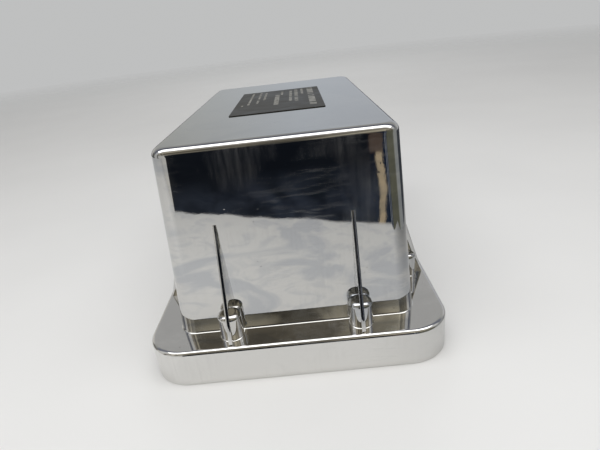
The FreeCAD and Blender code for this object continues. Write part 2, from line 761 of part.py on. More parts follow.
def chassis_screws():
    """The screws up through the plate into the brackets' feet and the strip's ears."""
    thickest = max(BRACKET_THICKNESS, TERMINAL_EAR_HEIGHT)
    tip = PLATE_TOP + thickest + NUT_HEIGHT + THREAD_SHOWING
    return [pan_screw(x, y, -1, PLATE_RECESS, tip) for x, y, seat in chassis_fixings()]


def chassis_nuts():
    """The nuts on the brackets' feet and the strip's ears."""
    return [
        hex_nut(x, y, seat, NUT_HEIGHT, NUT_ACROSS_FLATS, BORE_RADIUS)
        for x, y, seat in chassis_fixings()
    ]


# ---- Terminal strip -------------------------------------------------------
def terminal_screw_places():
    """Axes of the clamp screws, front and rear of each way."""
    reach = TERMINAL_DEPTH / 4
    return [
        (terminal_x(way), TERMINAL_Y + side * reach)
        for way in range(TERMINAL_WAYS)
        for side in (-1, 1)
    ]


def terminal_block():
    """The moulded barrier strip with an ear at each end."""
    solid = centred_block(TERMINAL_LENGTH, TERMINAL_DEPTH, PLATE_TOP, TERMINAL_DECK, 0, TERMINAL_Y)
    barriers = [
        centred_block(
            BARRIER_THICKNESS,
            TERMINAL_DEPTH,
            TERMINAL_DECK,
            TERMINAL_DECK + BARRIER_HEIGHT,
            terminal_x(i) - TERMINAL_PITCH / 2,
            TERMINAL_Y,
        )
        for i in range(TERMINAL_WAYS + 1)
    ]
    ear_high = PLATE_TOP + TERMINAL_EAR_HEIGHT
    ears = centred_block(
        TERMINAL_LENGTH + 2 * TERMINAL_EAR,
        TERMINAL_DEPTH / 2,
        PLATE_TOP,
        ear_high,
        0,
        TERMINAL_Y,
    )
    solid = solid.multiFuse(barriers + [ears])
    for x, y in strip_fixing_places():
        solid = solid.cut(post(SCREW_HOLE_RADIUS, x, y, PLATE_TOP, ear_high))
    for x, y in terminal_screw_places():
        hole_low = TERMINAL_DECK - TERMINAL_SCREW_DEPTH
        solid = solid.cut(post(TERMINAL_SCREW_RADIUS, x, y, hole_low, TERMINAL_DECK))
    return solid.removeSplitter()


def terminal_links():
    """The brass strips that join the two screws of each way."""
    links = []
    width = TERMINAL_PITCH - BARRIER_THICKNESS - 2 * LINK_SIDE_GAP
    length = TERMINAL_DEPTH - 2 * LINK_END_GAP
    for way in range(TERMINAL_WAYS):
        link = centred_block(
            width,
            length,
            TERMINAL_DECK,
            TERMINAL_DECK + LINK_THICKNESS,
            terminal_x(way),
            TERMINAL_Y,
        )
        for x, y in terminal_screw_places():
            if x == terminal_x(way):
                hole_high = TERMINAL_DECK + LINK_THICKNESS
                link = link.cut(post(TERMINAL_SCREW_RADIUS, x, y, TERMINAL_DECK, hole_high))
        links.append(link)
    return links


def slotted_screw(x, y, seat):
    """A small cheese-head screw with a slot."""
    head_top = seat + TERMINAL_SCREW_HEAD_HEIGHT
    head = post(TERMINAL_SCREW_HEAD, x, y, seat, head_top)
    slot = centred_block(2 * TERMINAL_SCREW_HEAD, SLOT_WIDTH, head_top - SLOT_DEPTH, head_top, x, y)
    shank = post(TERMINAL_SCREW_RADIUS, x, y, TERMINAL_DECK - TERMINAL_SCREW_DEPTH, seat)
    return head.cut(slot).fuse(shank).removeSplitter()


def terminal_screws():
    """The clamp screws, two to a way."""
    seat = TERMINAL_DECK + LINK_THICKNESS
    return [slotted_screw(x, y, seat) for x, y in terminal_screw_places()]


# ---- Fuse, earth stud and grommet -----------------------------------------
FUSE_AXIS_Z = PLATE_TOP + FUSE_BASE_HEIGHT + FUSE_AXIS_HEIGHT
FUSE_BASE_LENGTH = FUSE_LENGTH + 2 * FUSE_BASE_MARGIN


def fuse_base():
    """The insulating base under the fuse clips, with a blind hole for its screw."""
    solid = rounded_block(
        FUSE_BASE_LENGTH,
        FUSE_BASE_WIDTH,
        FUSE_BASE_CORNER_RADIUS,
        PLATE_TOP,
        PLATE_TOP + FUSE_BASE_HEIGHT,
        FUSE_X,
        SERVICE_Y,
    )
    hole_top = PLATE_TOP + FUSE_BASE_HEIGHT - FUSE_BASE_CAP
    return solid.cut(post(BORE_RADIUS, FUSE_X, SERVICE_Y, PLATE_TOP, hole_top))


def fuse_screw():
    """The screw up through the plate into the fuse base."""
    tip = PLATE_TOP + FUSE_BASE_HEIGHT - FUSE_BASE_CAP - THREAD_GAP
    return pan_screw(FUSE_X, SERVICE_Y, -1, PLATE_RECESS, tip)


def fuse_clips():
    """Two sprung clips, open at the top, that hold the fuse's caps."""
    clips = []
    inner = FUSE_RADIUS + CLIP_CLEARANCE
    outer = inner + CLIP_THICKNESS
    foot = PLATE_TOP + FUSE_BASE_HEIGHT
    for side in (-1, 1):
        x = FUSE_X + side * (FUSE_LENGTH - FUSE_CAP_LENGTH) / 2
        start = Vec(x - CLIP_WIDTH / 2, SERVICE_Y, FUSE_AXIS_Z)
        shell = bar(outer, start, Vec(1, 0, 0), CLIP_WIDTH)
        shell = shell.fuse(
            block(
                x - CLIP_WIDTH / 2,
                x + CLIP_WIDTH / 2,
                SERVICE_Y - outer,
                SERVICE_Y + outer,
                FUSE_AXIS_Z,
                FUSE_AXIS_Z + inner,
            )
        )
        shell = shell.fuse(
            block(
                x - CLIP_WIDTH / 2,
                x + CLIP_WIDTH / 2,
                SERVICE_Y - inner / 2,
                SERVICE_Y + inner / 2,
                foot,
                FUSE_AXIS_Z,
            )
        )
        shell = shell.cut(bar(inner, start, Vec(1, 0, 0), CLIP_WIDTH))
        shell = shell.cut(
            block(
                x - CLIP_WIDTH / 2,
                x + CLIP_WIDTH / 2,
                SERVICE_Y - inner,
                SERVICE_Y + inner,
                FUSE_AXIS_Z,
                FUSE_AXIS_Z + outer,
            )
        )
        clips.append(shell.removeSplitter())
    return clips


def fuse_tube():
    """The glass body of the fuse."""
    start = Vec(FUSE_X - FUSE_LENGTH / 2 + FUSE_CAP_WALL, SERVICE_Y, FUSE_AXIS_Z)
    length = FUSE_LENGTH - 2 * FUSE_CAP_WALL
    tube = bar(FUSE_RADIUS - FUSE_CAP_WALL, start, Vec(1, 0, 0), length)
    return tube.cut(bar(FUSE_RADIUS - FUSE_CAP_WALL - FUSE_GLASS_WALL, start, Vec(1, 0, 0), length))


def fuse_caps():
    """The metal caps on the fuse's ends."""
    caps = []
    for side in (-1, 1):
        outer_end = FUSE_X + side * FUSE_LENGTH / 2
        low = min(outer_end, outer_end - side * FUSE_CAP_LENGTH)
        cap = bar(FUSE_RADIUS, Vec(low, SERVICE_Y, FUSE_AXIS_Z), Vec(1, 0, 0), FUSE_CAP_LENGTH)
        hollow_low = low if side > 0 else low + FUSE_CAP_WALL
        hollow = bar(
            FUSE_RADIUS - FUSE_CAP_WALL,
            Vec(hollow_low, SERVICE_Y, FUSE_AXIS_Z),
            Vec(1, 0, 0),
            FUSE_CAP_LENGTH - FUSE_CAP_WALL,
        )
        caps.append(cap.cut(hollow))
    return caps


def earth_stud():
    """The stud pressed into the base plate."""
    return post(SCREW_RADIUS, EARTH_X, SERVICE_Y, PLATE_RECESS, PLATE_TOP + EARTH_STUD_HEIGHT)


def earth_nuts():
    """One nut down on the plate and one on the tag."""
    first = PLATE_TOP
    second = PLATE_TOP + NUT_HEIGHT + EARTH_TAG_THICKNESS
    return [
        hex_nut(EARTH_X, SERVICE_Y, z, NUT_HEIGHT, NUT_ACROSS_FLATS, BORE_RADIUS)
        for z in (first, second)
    ]


def earth_tag():
    """The ring tag clamped between the nuts."""
    low = PLATE_TOP + NUT_HEIGHT
    high = low + EARTH_TAG_THICKNESS
    ring = post(EARTH_TAG_RADIUS, EARTH_X, SERVICE_Y, low, high)
    tail = block(
        EARTH_X - EARTH_TAG_BARREL / 2,
        EARTH_X + EARTH_TAG_BARREL / 2,
        SERVICE_Y,
        SERVICE_Y + EARTH_TAG_LENGTH,
        low,
        high,
    )
    return ring.fuse(tail).cut(post(BORE_RADIUS, EARTH_X, SERVICE_Y, low, high)).removeSplitter()


def cable_grommet():
    """The rubber bush that lines the cable hole in the plate."""
    low = PLATE_RECESS - GROMMET_LIP_HEIGHT
    high = PLATE_TOP + GROMMET_LIP_HEIGHT
    solid = post(GROMMET_HOLE, GROMMET_X, SERVICE_Y, low, high)
    for z in (low, PLATE_TOP):
        lip = post(GROMMET_HOLE + GROMMET_LIP, GROMMET_X, SERVICE_Y, z, z + GROMMET_LIP_HEIGHT)
        solid = solid.fuse(lip)
    return solid.cut(post(GROMMET_BORE, GROMMET_X, SERVICE_Y, low, high)).removeSplitter()


# ---- Leads ----------------------------------------------------------------
def lead(way, tag):
    """One insulated lead from a solder tag to the rear screw of a terminal way."""
    tag_x, tag_z = tag
    start = Vec(tag_x, COIL_FRONT - TAG_LENGTH, tag_z)
    clamp_z = TERMINAL_DECK + LINK_THICKNESS + LEAD_RADIUS + LEAD_REST
    end_y = TERMINAL_Y + TERMINAL_DEPTH / 4 + TERMINAL_SCREW_HEAD + LEAD_SCREW_GAP
    end = Vec(terminal_x(way), end_y, clamp_z)
    across = end.x - start.x
    run = start.y - end.y
    drop = start.z - end.z
    knee = Vec(start.x, start.y - run * 0.2, start.z)
    shin = Vec(start.x + across * 0.5, start.y - run * 0.45, end.z + drop * 0.6)
    ankle = Vec(start.x + across * 0.95, start.y - run * 0.6, end.z + drop * 0.15 + LEAD_SAG)
    return tube_along([start, knee, shin, ankle, end], LEAD_RADIUS)


def leads(first_way, tags):
    """A row of leads, from neighbouring tags to neighbouring ways."""
    return [lead(first_way + i, tag) for i, tag in enumerate(tags)]


def primary_leads():
    """The leads from the lower row of tags to the left half of the strip."""
    return leads(0, tag_places()[:TAGS_PER_ROW])


def secondary_leads():
    """The leads from the upper row of tags to the right half of the strip."""
    return leads(TERMINAL_WAYS - TAGS_PER_ROW, tag_places()[TAGS_PER_ROW:])


# ---- Build ----------------------------------------------------------------
NODES = {
    "housing_shell": housing_shell,
    "rating_plate": rating_plate,
    "base_plate": base_plate,
    "base_gasket": base_gasket,
    "base_screws": base_screws,
    "base_washers": base_washers,
    "mount_nuts": mount_nuts,
    "core_stack": core_stack,
    "bobbin": bobbin,
    "primary_winding": primary_winding,
    "secondary_winding": secondary_winding,
    "winding_wraps": winding_wraps,
    "solder_tags": solder_tags,
    "core_bolts": core_bolts,
    "core_nuts": core_nuts,
    "chassis_screws": chassis_screws,
    "chassis_nuts": chassis_nuts,
    "terminal_block": terminal_block,
    "terminal_links": terminal_links,
    "terminal_screws": terminal_screws,
    "primary_leads": primary_leads,
    "secondary_leads": secondary_leads,
    "fuse_base": fuse_base,
    "fuse_screw": fuse_screw,
    "fuse_clips": fuse_clips,
    "fuse_tube": fuse_tube,
    "fuse_caps": fuse_caps,
    "earth_stud": earth_stud,
    "earth_nuts": earth_nuts,
    "earth_tag": earth_tag,
    "cable_grommet": cable_grommet,
    "front_bracket": front_bracket,
    "rear_bracket": rear_bracket,
}


def export(name, made):
    """Writes one node, a solid or a group of solids, to its STEP file."""
    solids = made if isinstance(made, list) else [made]
    shape = solids[0] if len(solids) == 1 else Part.makeCompound(solids)
    shape.exportStep(os.path.join("parts", name + ".step"))
    print(name, len(shape.Solids), "solids", round(shape.Volume, 1), "mm3", shape.isValid())


def main():
    """Builds every node."""
    os.makedirs("parts", exist_ok=True)
    for name, make in NODES.items():
        export(name, make())


main()
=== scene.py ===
"""Looks of a chrome-plated, flanged equipment housing with a small transformer inside.

Each sub-assembly is a class that holds its sizes, builds its meshes and dresses them, and
each finish is a frozen dataclass that makes one material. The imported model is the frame:
every place comes from it, in metres, and nothing in it is moved.
"""

import logging
import math
from dataclasses import dataclass, field
from enum import Enum

import bmesh
import bpy
from mathutils import Matrix, Vector


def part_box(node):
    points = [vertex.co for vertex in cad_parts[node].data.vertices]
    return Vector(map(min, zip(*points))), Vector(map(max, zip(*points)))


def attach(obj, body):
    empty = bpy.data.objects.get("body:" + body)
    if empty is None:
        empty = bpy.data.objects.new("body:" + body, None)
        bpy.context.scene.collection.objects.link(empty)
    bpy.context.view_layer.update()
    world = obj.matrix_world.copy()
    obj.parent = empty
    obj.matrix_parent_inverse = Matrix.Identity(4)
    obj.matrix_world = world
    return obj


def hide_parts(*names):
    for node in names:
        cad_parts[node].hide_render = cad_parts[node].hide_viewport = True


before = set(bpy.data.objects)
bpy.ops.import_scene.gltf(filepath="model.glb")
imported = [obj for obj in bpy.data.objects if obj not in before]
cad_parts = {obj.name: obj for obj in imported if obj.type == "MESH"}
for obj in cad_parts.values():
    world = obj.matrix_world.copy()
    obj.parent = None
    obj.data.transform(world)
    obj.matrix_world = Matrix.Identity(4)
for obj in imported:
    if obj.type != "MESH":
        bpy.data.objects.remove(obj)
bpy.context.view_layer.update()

MM = 0.001
BODY = "root"

logging.basicConfig(level=logging.INFO, format="%(message)s")
LOG = logging.getLogger("housing")

Colour = tuple[float, float, float, float]
Point = tuple[float, float, float]
Span = tuple[float, float]


def rgb(red: float, green: float, blue: float) -> Colour:
    """Gives an opaque colour from its linear parts."""
    return (red, green, blue, 1.0)


# ---- Node helpers -----------------------------------------------------------
class NodeGraph:
    """A thin wrapper that adds and links nodes in one tree."""

    def __init__(self, tree: bpy.types.NodeTree) -> None:
        """Keeps the tree that nodes are added to.

        Args:
            tree: the node tree to fill.
        """
        self.tree = tree

    def add(self, kind: str, **settings: object) -> bpy.types.Node:
        """Adds a node.

        Args:
            kind: the node's Blender type name.
            settings: attributes to set on it.

        Returns:
            The new node.
        """
        node = self.tree.nodes.new(kind)
        for name, value in settings.items():
            setattr(node, name, value)
        return node

    def plug(self, source: object, socket: bpy.types.NodeSocket) -> None:
        """Links an output to an input, or sets the input if the source is a plain value.

        Args:
            source: an output socket, or a number, vector or colour.
            socket: the input to feed.
        """
        if isinstance(source, bpy.types.NodeSocket):
            self.tree.links.new(source, socket)
        else:
            socket.default_value = source

    def math(
        self, operation: str, first: object, second: object = 0.0, third: object = 0.0
    ) -> bpy.types.NodeSocket:
        """Adds a Math node.

        Args:
            operation: the node's operation.
            first: the first value or socket.
            second: the second value or socket.
            third: the third value or socket.

        Returns:
            The result's socket.
        """
        node = self.add("ShaderNodeMath", operation=operation)
        for source, socket in zip((first, second, third), node.inputs):
            self.plug(source, socket)
        return node.outputs[0]

    def times(self, first: object, second: object) -> bpy.types.NodeSocket:
        """Multiplies two values."""
        return self.math("MULTIPLY", first, second)

    def apart(self, vector: object) -> bpy.types.bpy_prop_collection:
        """Splits a vector.

        Args:
            vector: the vector's socket.

        Returns:
            Its X, Y and Z sockets, by name.
        """
        node = self.add("ShaderNodeSeparateXYZ")
        self.plug(vector, node.inputs[0])
        return node.outputs

    def vector(self, *parts: object) -> bpy.types.NodeSocket:
        """Joins up to three parts into a vector.

        Args:
            parts: the X, Y and Z values or sockets. Those left out are 0.

        Returns:
            The vector's socket.
        """
        node = self.add("ShaderNodeCombineXYZ")
        for part, socket in zip(parts, node.inputs):
            self.plug(part, socket)
        return node.outputs[0]

    def ramp(self, value: object, stops: list[tuple[float, Colour]]) -> bpy.types.NodeSocket:
        """Adds a colour ramp.

        Args:
            value: the value or socket that drives it.
            stops: each stop's place from 0 to 1, and its colour.

        Returns:
            The colour's socket.
        """
        node = self.add("ShaderNodeValToRGB")
        points = node.color_ramp.elements
        while len(points) < len(stops):
            points.new(1.0)
        for point, (place, colour) in zip(points, stops):
            point.position = place
            point.color = colour
        self.plug(value, node.inputs["Fac"])
        return node.outputs["Color"]

    def spread(
        self, value: object, low: float, high: float, to_low: float, to_high: float
    ) -> bpy.types.NodeSocket:
        """Maps one range of values onto another, and clamps the result.

        Args:
            value: the value or socket to map.
            low: the start of the range it comes in.
            high: the end of that range.
            to_low: what low becomes.
            to_high: what high becomes.

        Returns:
            The result's socket.
        """
        node = self.add("ShaderNodeMapRange", clamp=True)
        for source, socket in zip((value, low, high, to_low, to_high), node.inputs):
            self.plug(source, socket)
        return node.outputs["Result"]

    def mix(self, share: object, first: object, second: object) -> bpy.types.NodeSocket:
        """Mixes two colours.

        Args:
            share: how much of the second shows, from 0 to 1.
            first: the first colour or socket.
            second: the second colour or socket.

        Returns:
            The colour's socket.
        """
        node = self.add("ShaderNodeMix", data_type="RGBA")
        self.plug(share, node.inputs["Factor"])
        self.plug(first, node.inputs["A"])
        self.plug(second, node.inputs["B"])
        return node.outputs["Result"]

    def coordinates(self, scale: Point = (1, 1, 1), turn: Point = (0, 0, 0)) -> bpy.types.NodeSocket:
        """Gives the object's own coordinates, turned and then scaled per axis.

        Args:
            scale: the factor on each axis.
            turn: the turn about each axis, in degrees.

        Returns:
            The vector's socket.
        """
        place = self.add("ShaderNodeTexCoord").outputs["Object"]
        mapping = self.add("ShaderNodeMapping")
        mapping.inputs["Rotation"].default_value = [math.radians(a) for a in turn]
        mapping.inputs["Scale"].default_value = scale
        self.plug(place, mapping.inputs["Vector"])
        return mapping.outputs["Vector"]

    def noise(
        self, place: object, scale: float, detail: float = 3.0, warp: float = 0.0
    ) -> bpy.types.NodeSocket:
        """Adds a noise texture.

        Args:
            place: the coordinates' socket.
            scale: features per metre.
            detail: the number of finer layers.
            warp: how far the pattern is distorted.

        Returns:
            The value's socket.
        """
        node = self.add("ShaderNodeTexNoise")
        self.plug(place, node.inputs["Vector"])
        node.inputs["Scale"].default_value = scale
        node.inputs["Detail"].default_value = detail
        node.inputs["Distortion"].default_value = warp
        return node.outputs["Fac"]

    def bump(
        self, height: object, depth: float, strength: float, base: object = None
    ) -> bpy.types.NodeSocket:
        """Adds a bump.

        Args:
            height: the socket that shapes it.
            depth: its height in metres.
            strength: how much of it shows.
            base: another bump's normal to add to, if any.

        Returns:
            The normal's socket.
        """
        node = self.add("ShaderNodeBump")
        node.inputs["Strength"].default_value = strength
        node.inputs["Distance"].default_value = depth
        self.plug(height, node.inputs["Height"])
        if base is not None:
            self.plug(base, node.inputs["Normal"])
        return node.outputs["Normal"]


@dataclass(frozen=True)
class Finish:
    """The common part of every finish: a named material with one surface shader."""

    name: str

    def material(self) -> bpy.types.Material:
        """Makes the material, or gives the one that was already made.

        Returns:
            The material.
        """
        made = bpy.data.materials.get(self.name)
        if made is not None:
            return made
        made = bpy.data.materials.new(self.name)
        made.use_nodes = True
        self.paint(NodeGraph(made.node_tree), made.node_tree.nodes["Principled BSDF"])
        return made

    def paint(self, graph: NodeGraph, shader: bpy.types.Node) -> None:
        """Fills in the surface shader.

        Args:
            graph: the material's nodes.
            shader: the surface shader to set and feed.
        """
        raise NotImplementedError


@dataclass(frozen=True)
class ChromePlate(Finish):
    """Mirror chrome over a hand-polished casting: faint waves, smears, haze, pits and hairlines."""

    name: str = "polished_chrome"
    smeared: Colour = rgb(0.49, 0.50, 0.515)
    bright: Colour = rgb(0.62, 0.615, 0.60)
    flange_and_skirt_tone: Colour = rgb(0.715, 0.71, 0.695)
    pit_tone: Colour = rgb(0.16, 0.155, 0.15)
    clean: float = 0.012
    hazy: float = 0.07
    film: float = 0.125
    walls_from: float = 0.022
    walls_blend: float = 0.003
    walls_to: float = 0.0995
    top_blend: float = 0.002
    ends_from: float = 0.082
    ends_blend: float = 0.008
    low_smears: float = 0.35
    side_smears: float = 0.5
    top_smears: float = 0.55
    top_haze: float = 0.5
    smear_scale: Point = (20, 20, 46)
    smear_turn: Point = (0, 36, 0)
    rub_scale: Point = (60, 60, 130)
    rub_turn: Point = (0, -28, 0)
    stroke_scale: Point = (38, 38, 210)
    stroke_turn: Point = (0, 24, 0)
    stroke_haze: float = 0.7
    upright_grain: Point = (620, 620, 24)
    lengthways_grain: Point = (620, 16, 1)
    hair_scale: Point = (1400, 90, 1400)
    hair_turn: Point = (0, 0, 24)
    waves_per_metre: float = 16.0
    wave_depth: float = 0.0003
    hairline_depth: float = 0.000012
    pit_depth: float = 0.000012
    pit_share: float = 0.55
    pits_per_metre: float = 320.0
    pit_choice: float = 0.63

    def paint(self, graph: NodeGraph, shader: bpy.types.Node) -> None:
        """Fills in the surface shader.

        Args:
            graph: the material's nodes.
            shader: the surface shader to set and feed.
        """
        place = graph.coordinates()
        axes = graph.apart(place)
        on_top = graph.spread(axes["Z"], self.walls_to, self.walls_to + self.top_blend, 0, 1)
        pits = self.pits(graph)
        toned = self.smears(graph, axes, on_top)
        spotted = graph.mix(graph.times(pits, self.pit_share), toned, self.pit_tone)
        graph.plug(spotted, shader.inputs["Base Color"])
        haze = self.haze(graph, place, on_top)
        graph.plug(graph.spread(haze, 0, 1, self.clean, self.hazy), shader.inputs["Roughness"])
        graph.plug(graph.spread(haze, 0, 1, 1.0, 1.0 - self.film), shader.inputs["Metallic"])
        wave = graph.bump(graph.noise(place, self.waves_per_metre, 1.0), self.wave_depth, 0.35)
        hair = graph.noise(graph.coordinates(self.hair_scale, self.hair_turn), 1.0, 2.0, 0.2)
        scratched = graph.bump(hair, self.hairline_depth, 0.12, wave)
        pitted = graph.bump(graph.math("SUBTRACT", 1.0, pits), self.pit_depth, 0.5, scratched)
        graph.plug(pitted, shader.inputs["Normal"])

    def smears(
        self, graph: NodeGraph, axes: bpy.types.bpy_prop_collection, on_top: bpy.types.NodeSocket
    ) -> bpy.types.NodeSocket:
        """Tones the plating: noise smears over the walls, fuller towards the two ends of the length and
        thinner on the top, and one lighter tone on the flange and skirt.

        Args:
            graph: the material's nodes.
            axes: the place's X, Y and Z sockets.
            on_top: a socket that is 1 on the top.

        Returns:
            The tone's socket.
        """
        walls = (self.walls_from - self.walls_blend, self.walls_from)
        above_flange = graph.spread(axes["Z"], *walls, self.low_smears, 1)
        smear_weight = graph.math("SUBTRACT", above_flange, graph.times(on_top, self.top_smears))
        broad = graph.noise(graph.coordinates(self.smear_scale, self.smear_turn), 1.0, 6.0, 1.7)
        fine = graph.noise(graph.coordinates(self.rub_scale, self.rub_turn), 1.0, 5.0, 2.2)
        broad = graph.spread(broad, 0.48, 0.58, 0, 1)
        dull = graph.math("MAXIMUM", broad, graph.spread(fine, 0.5, 0.64, 0, 0.55))
        ends = (self.ends_from, self.ends_from + self.ends_blend)
        on_ends = graph.spread(graph.math("ABSOLUTE", axes["Y"]), *ends, self.side_smears, 1)
        # The smears' share is weighted by place: fuller towards the ends of the length, thinner on the top.
        share = graph.times(graph.times(dull, on_ends), smear_weight)
        toned = graph.mix(share, self.bright, self.smeared)
        # Below the flange top the plating takes one lighter tone than the walls.
        return graph.mix(graph.spread(axes["Z"], *walls, 1, 0), toned, self.flange_and_skirt_tone)

    def haze(
        self, graph: NodeGraph, place: bpy.types.NodeSocket, on_top: bpy.types.NodeSocket
    ) -> bpy.types.NodeSocket:
        """Makes the haze of brushed clouds and wipe marks, thinner on the top.

        Args:
            graph: the material's nodes.
            place: the place's socket.
            on_top: a socket that is 1 on the top.

        Returns:
            A socket that is 1 where the haze is full.
        """
        cloud = graph.spread(graph.noise(place, 21.0, 5.0, 1.4), 0.47, 0.68, 0, 1)
        grain = graph.add("ShaderNodeMix")
        graph.plug(on_top, grain.inputs["Factor"])
        for scale, side in ((self.upright_grain, "A"), (self.lengthways_grain, "B")):
            graph.plug(graph.noise(graph.coordinates(scale), 1.0, 3.0, 0.4), grain.inputs[side])
        brushed = graph.times(cloud, graph.spread(grain.outputs["Result"], 0.38, 0.68, 0.2, 1))
        full = graph.math("MAXIMUM", brushed, graph.times(self.wipe_marks(graph), self.stroke_haze))
        return graph.times(full, graph.math("MULTIPLY_ADD", on_top, -self.top_haze, 1.0))

    def pits(self, graph: NodeGraph) -> bpy.types.NodeSocket:
        """Makes the few tiny pits of an old plating.

        Args:
            graph: the material's nodes.

        Returns:
            A socket that is 1 in a pit.
        """
        cells = graph.add("ShaderNodeTexVoronoi")
        graph.plug(graph.coordinates(), cells.inputs["Vector"])
        cells.inputs["Scale"].default_value = self.pits_per_metre
        spot = graph.spread(cells.outputs["Distance"], 0.05, 0.14, 1, 0)
        patches = graph.noise(graph.coordinates(), 130.0, 2.0)
        return graph.times(spot, graph.math("GREATER_THAN", patches, self.pit_choice))

    def wipe_marks(self, graph: NodeGraph) -> bpy.types.NodeSocket:
        """Makes the curved strokes that a cloth leaves, in a few places.

        Args:
            graph: the material's nodes.

        Returns:
            A socket that is 1 in a stroke and 0 between strokes.
        """
        stroke = graph.noise(graph.coordinates(self.stroke_scale, self.stroke_turn), 1.0, 5.0, 1.6)
        lines = graph.spread(stroke, 0.52, 0.70, 0, 1)
        here = graph.spread(graph.noise(graph.coordinates(), 23.0, 2.0), 0.46, 0.60, 0, 1)
        return graph.times(lines, here)


@dataclass(frozen=True)
class SheetMetal(Finish):
    """Bright plated steel with fine grain and a few dull patches."""

    name: str = "plated_sheet"
    light: Colour = rgb(0.55, 0.55, 0.53)
    dark: Colour = rgb(0.38, 0.39, 0.40)
    smooth: float = 0.22
    rough: float = 0.42
    grain: Point = (30, 900, 900)
    grain_depth: float = 0.00002

    def paint(self, graph: NodeGraph, shader: bpy.types.Node) -> None:
        """Fills in the surface shader.

        Args:
            graph: the material's nodes.
            shader: the surface shader to set and feed.
        """
        blotch = graph.noise(graph.coordinates(), 55.0, 4.0, 0.6)
        grain = graph.noise(graph.coordinates(self.grain), 1.0, 3.0)
        toned = graph.mix(graph.spread(blotch, 0.35, 0.7, 0, 1), self.light, self.dark)
        graph.plug(toned, shader.inputs["Base Color"])
        shader.inputs["Metallic"].default_value = 1.0
        graph.plug(graph.spread(grain, 0.3, 0.7, self.smooth, self.rough), shader.inputs["Roughness"])
        graph.plug(graph.bump(grain, self.grain_depth, 0.3), shader.inputs["Normal"])


@dataclass(frozen=True)
class Moulded(Finish):
    """Moulded rubber, nylon or phenolic: a fine matte skin with slight tone changes."""

    name: str = "moulded"
    light: Colour = rgb(0.04, 0.04, 0.04)
    dark: Colour = rgb(0.02, 0.02, 0.02)
    smooth: float = 0.45
    rough: float = 0.7
    skin: float = 1500.0
    skin_depth: float = 0.00004

    def paint(self, graph: NodeGraph, shader: bpy.types.Node) -> None:
        """Fills in the surface shader.

        Args:
            graph: the material's nodes.
            shader: the surface shader to set and feed.
        """
        tone = graph.noise(graph.coordinates(), 70.0, 3.0)
        skin = graph.noise(graph.coordinates(), self.skin, 2.0)
        toned = graph.mix(graph.spread(tone, 0.35, 0.65, 0, 1), self.light, self.dark)
        graph.plug(toned, shader.inputs["Base Color"])
        graph.plug(graph.spread(tone, 0.3, 0.7, self.smooth, self.rough), shader.inputs["Roughness"])
        graph.plug(graph.bump(skin, self.skin_depth, 0.4), shader.inputs["Normal"])


class Axis(Enum):
    """The direction in which layers follow each other."""

    ALONG = "Y"
    UP = "Z"


@dataclass(frozen=True)
class Layered(Finish):
    """Thin sheets or turns that lie on each other along one axis, with a varnish over them."""

    name: str = "layered"
    light: Colour = rgb(0.2, 0.19, 0.18)
    dark: Colour = rgb(0.06, 0.055, 0.05)
    axis: Axis = Axis.ALONG
    pitch: float = 0.0005
    metallic: float = 0.8
    smooth: float = 0.3
    rough: float = 0.55
    groove_depth: float = 0.0001

    def paint(self, graph: NodeGraph, shader: bpy.types.Node) -> None:
        """Fills in the surface shader.

        Args:
            graph: the material's nodes.
            shader: the surface shader to set and feed.
        """
        along = graph.math("DIVIDE", graph.apart(graph.coordinates())[self.axis.value], self.pitch)
        sheet = graph.math("PINGPONG", along, 0.5)
        own = graph.add("ShaderNodeTexWhiteNoise", noise_dimensions="1D")
        graph.plug(graph.math("FLOOR", graph.math("ADD", along, 0.5)), own.inputs["W"])
        blotch = graph.noise(graph.coordinates(), 90.0, 4.0)
        share = graph.times(graph.math("ADD", own.outputs["Value"], blotch), 0.5)
        graph.plug(graph.mix(share, self.dark, self.light), shader.inputs["Base Color"])
        shader.inputs["Metallic"].default_value = self.metallic
        graph.plug(graph.spread(blotch, 0.3, 0.7, self.smooth, self.rough), shader.inputs["Roughness"])
        grooved = graph.bump(graph.spread(sheet, 0.0, 0.2, 0, 1), self.groove_depth, 0.6)
        graph.plug(grooved, shader.inputs["Normal"])


@dataclass(frozen=True)
class PrintedFoil(Finish):
    """The rating plate's satin grey-black face, with fine grain and handling marks."""

    name: str = "rating_foil"
    light: Colour = rgb(0.046, 0.044, 0.038)
    dark: Colour = rgb(0.027, 0.026, 0.023)
    smooth: float = 0.3
    rough: float = 0.48
    grain: Point = (900, 40, 900)
    grain_depth: float = 0.00001

    def paint(self, graph: NodeGraph, shader: bpy.types.Node) -> None:
        """Fills in the surface shader.

        Args:
            graph: the material's nodes.
            shader: the surface shader to set and feed.
        """
        rubbed = graph.noise(graph.coordinates(), 60.0, 5.0, 0.8)
        grain = graph.noise(graph.coordinates(self.grain), 1.0, 3.0)
        toned = graph.mix(graph.spread(rubbed, 0.35, 0.7, 0, 1), self.dark, self.light)
        graph.plug(toned, shader.inputs["Base Color"])
        shader.inputs["Specular IOR Level"].default_value = 0.08
        graph.plug(graph.spread(rubbed, 0.3, 0.75, self.smooth, self.rough), shader.inputs["Roughness"])
        graph.plug(graph.bump(grain, self.grain_depth, 0.3), shader.inputs["Normal"])


@dataclass(frozen=True)
class PrintInk(Finish):
    """The bare-metal marks of the rating plate, slightly worn."""

    name: str = "rating_marks"
    light: Colour = rgb(0.38, 0.365, 0.32)
    worn: Colour = rgb(0.20, 0.19, 0.165)
    smooth: float = 0.3
    rough: float = 0.5

    def paint(self, graph: NodeGraph, shader: bpy.types.Node) -> None:
        """Fills in the surface shader.

        Args:
            graph: the material's nodes.
            shader: the surface shader to set and feed.
        """
        wear = graph.noise(graph.coordinates(), 420.0, 4.0)
        toned = graph.mix(graph.spread(wear, 0.4, 0.66, 0, 1), self.light, self.worn)
        graph.plug(toned, shader.inputs["Base Color"])
        shader.inputs["Metallic"].default_value = 0.4
        graph.plug(graph.spread(wear, 0.3, 0.7, self.smooth, self.rough), shader.inputs["Roughness"])


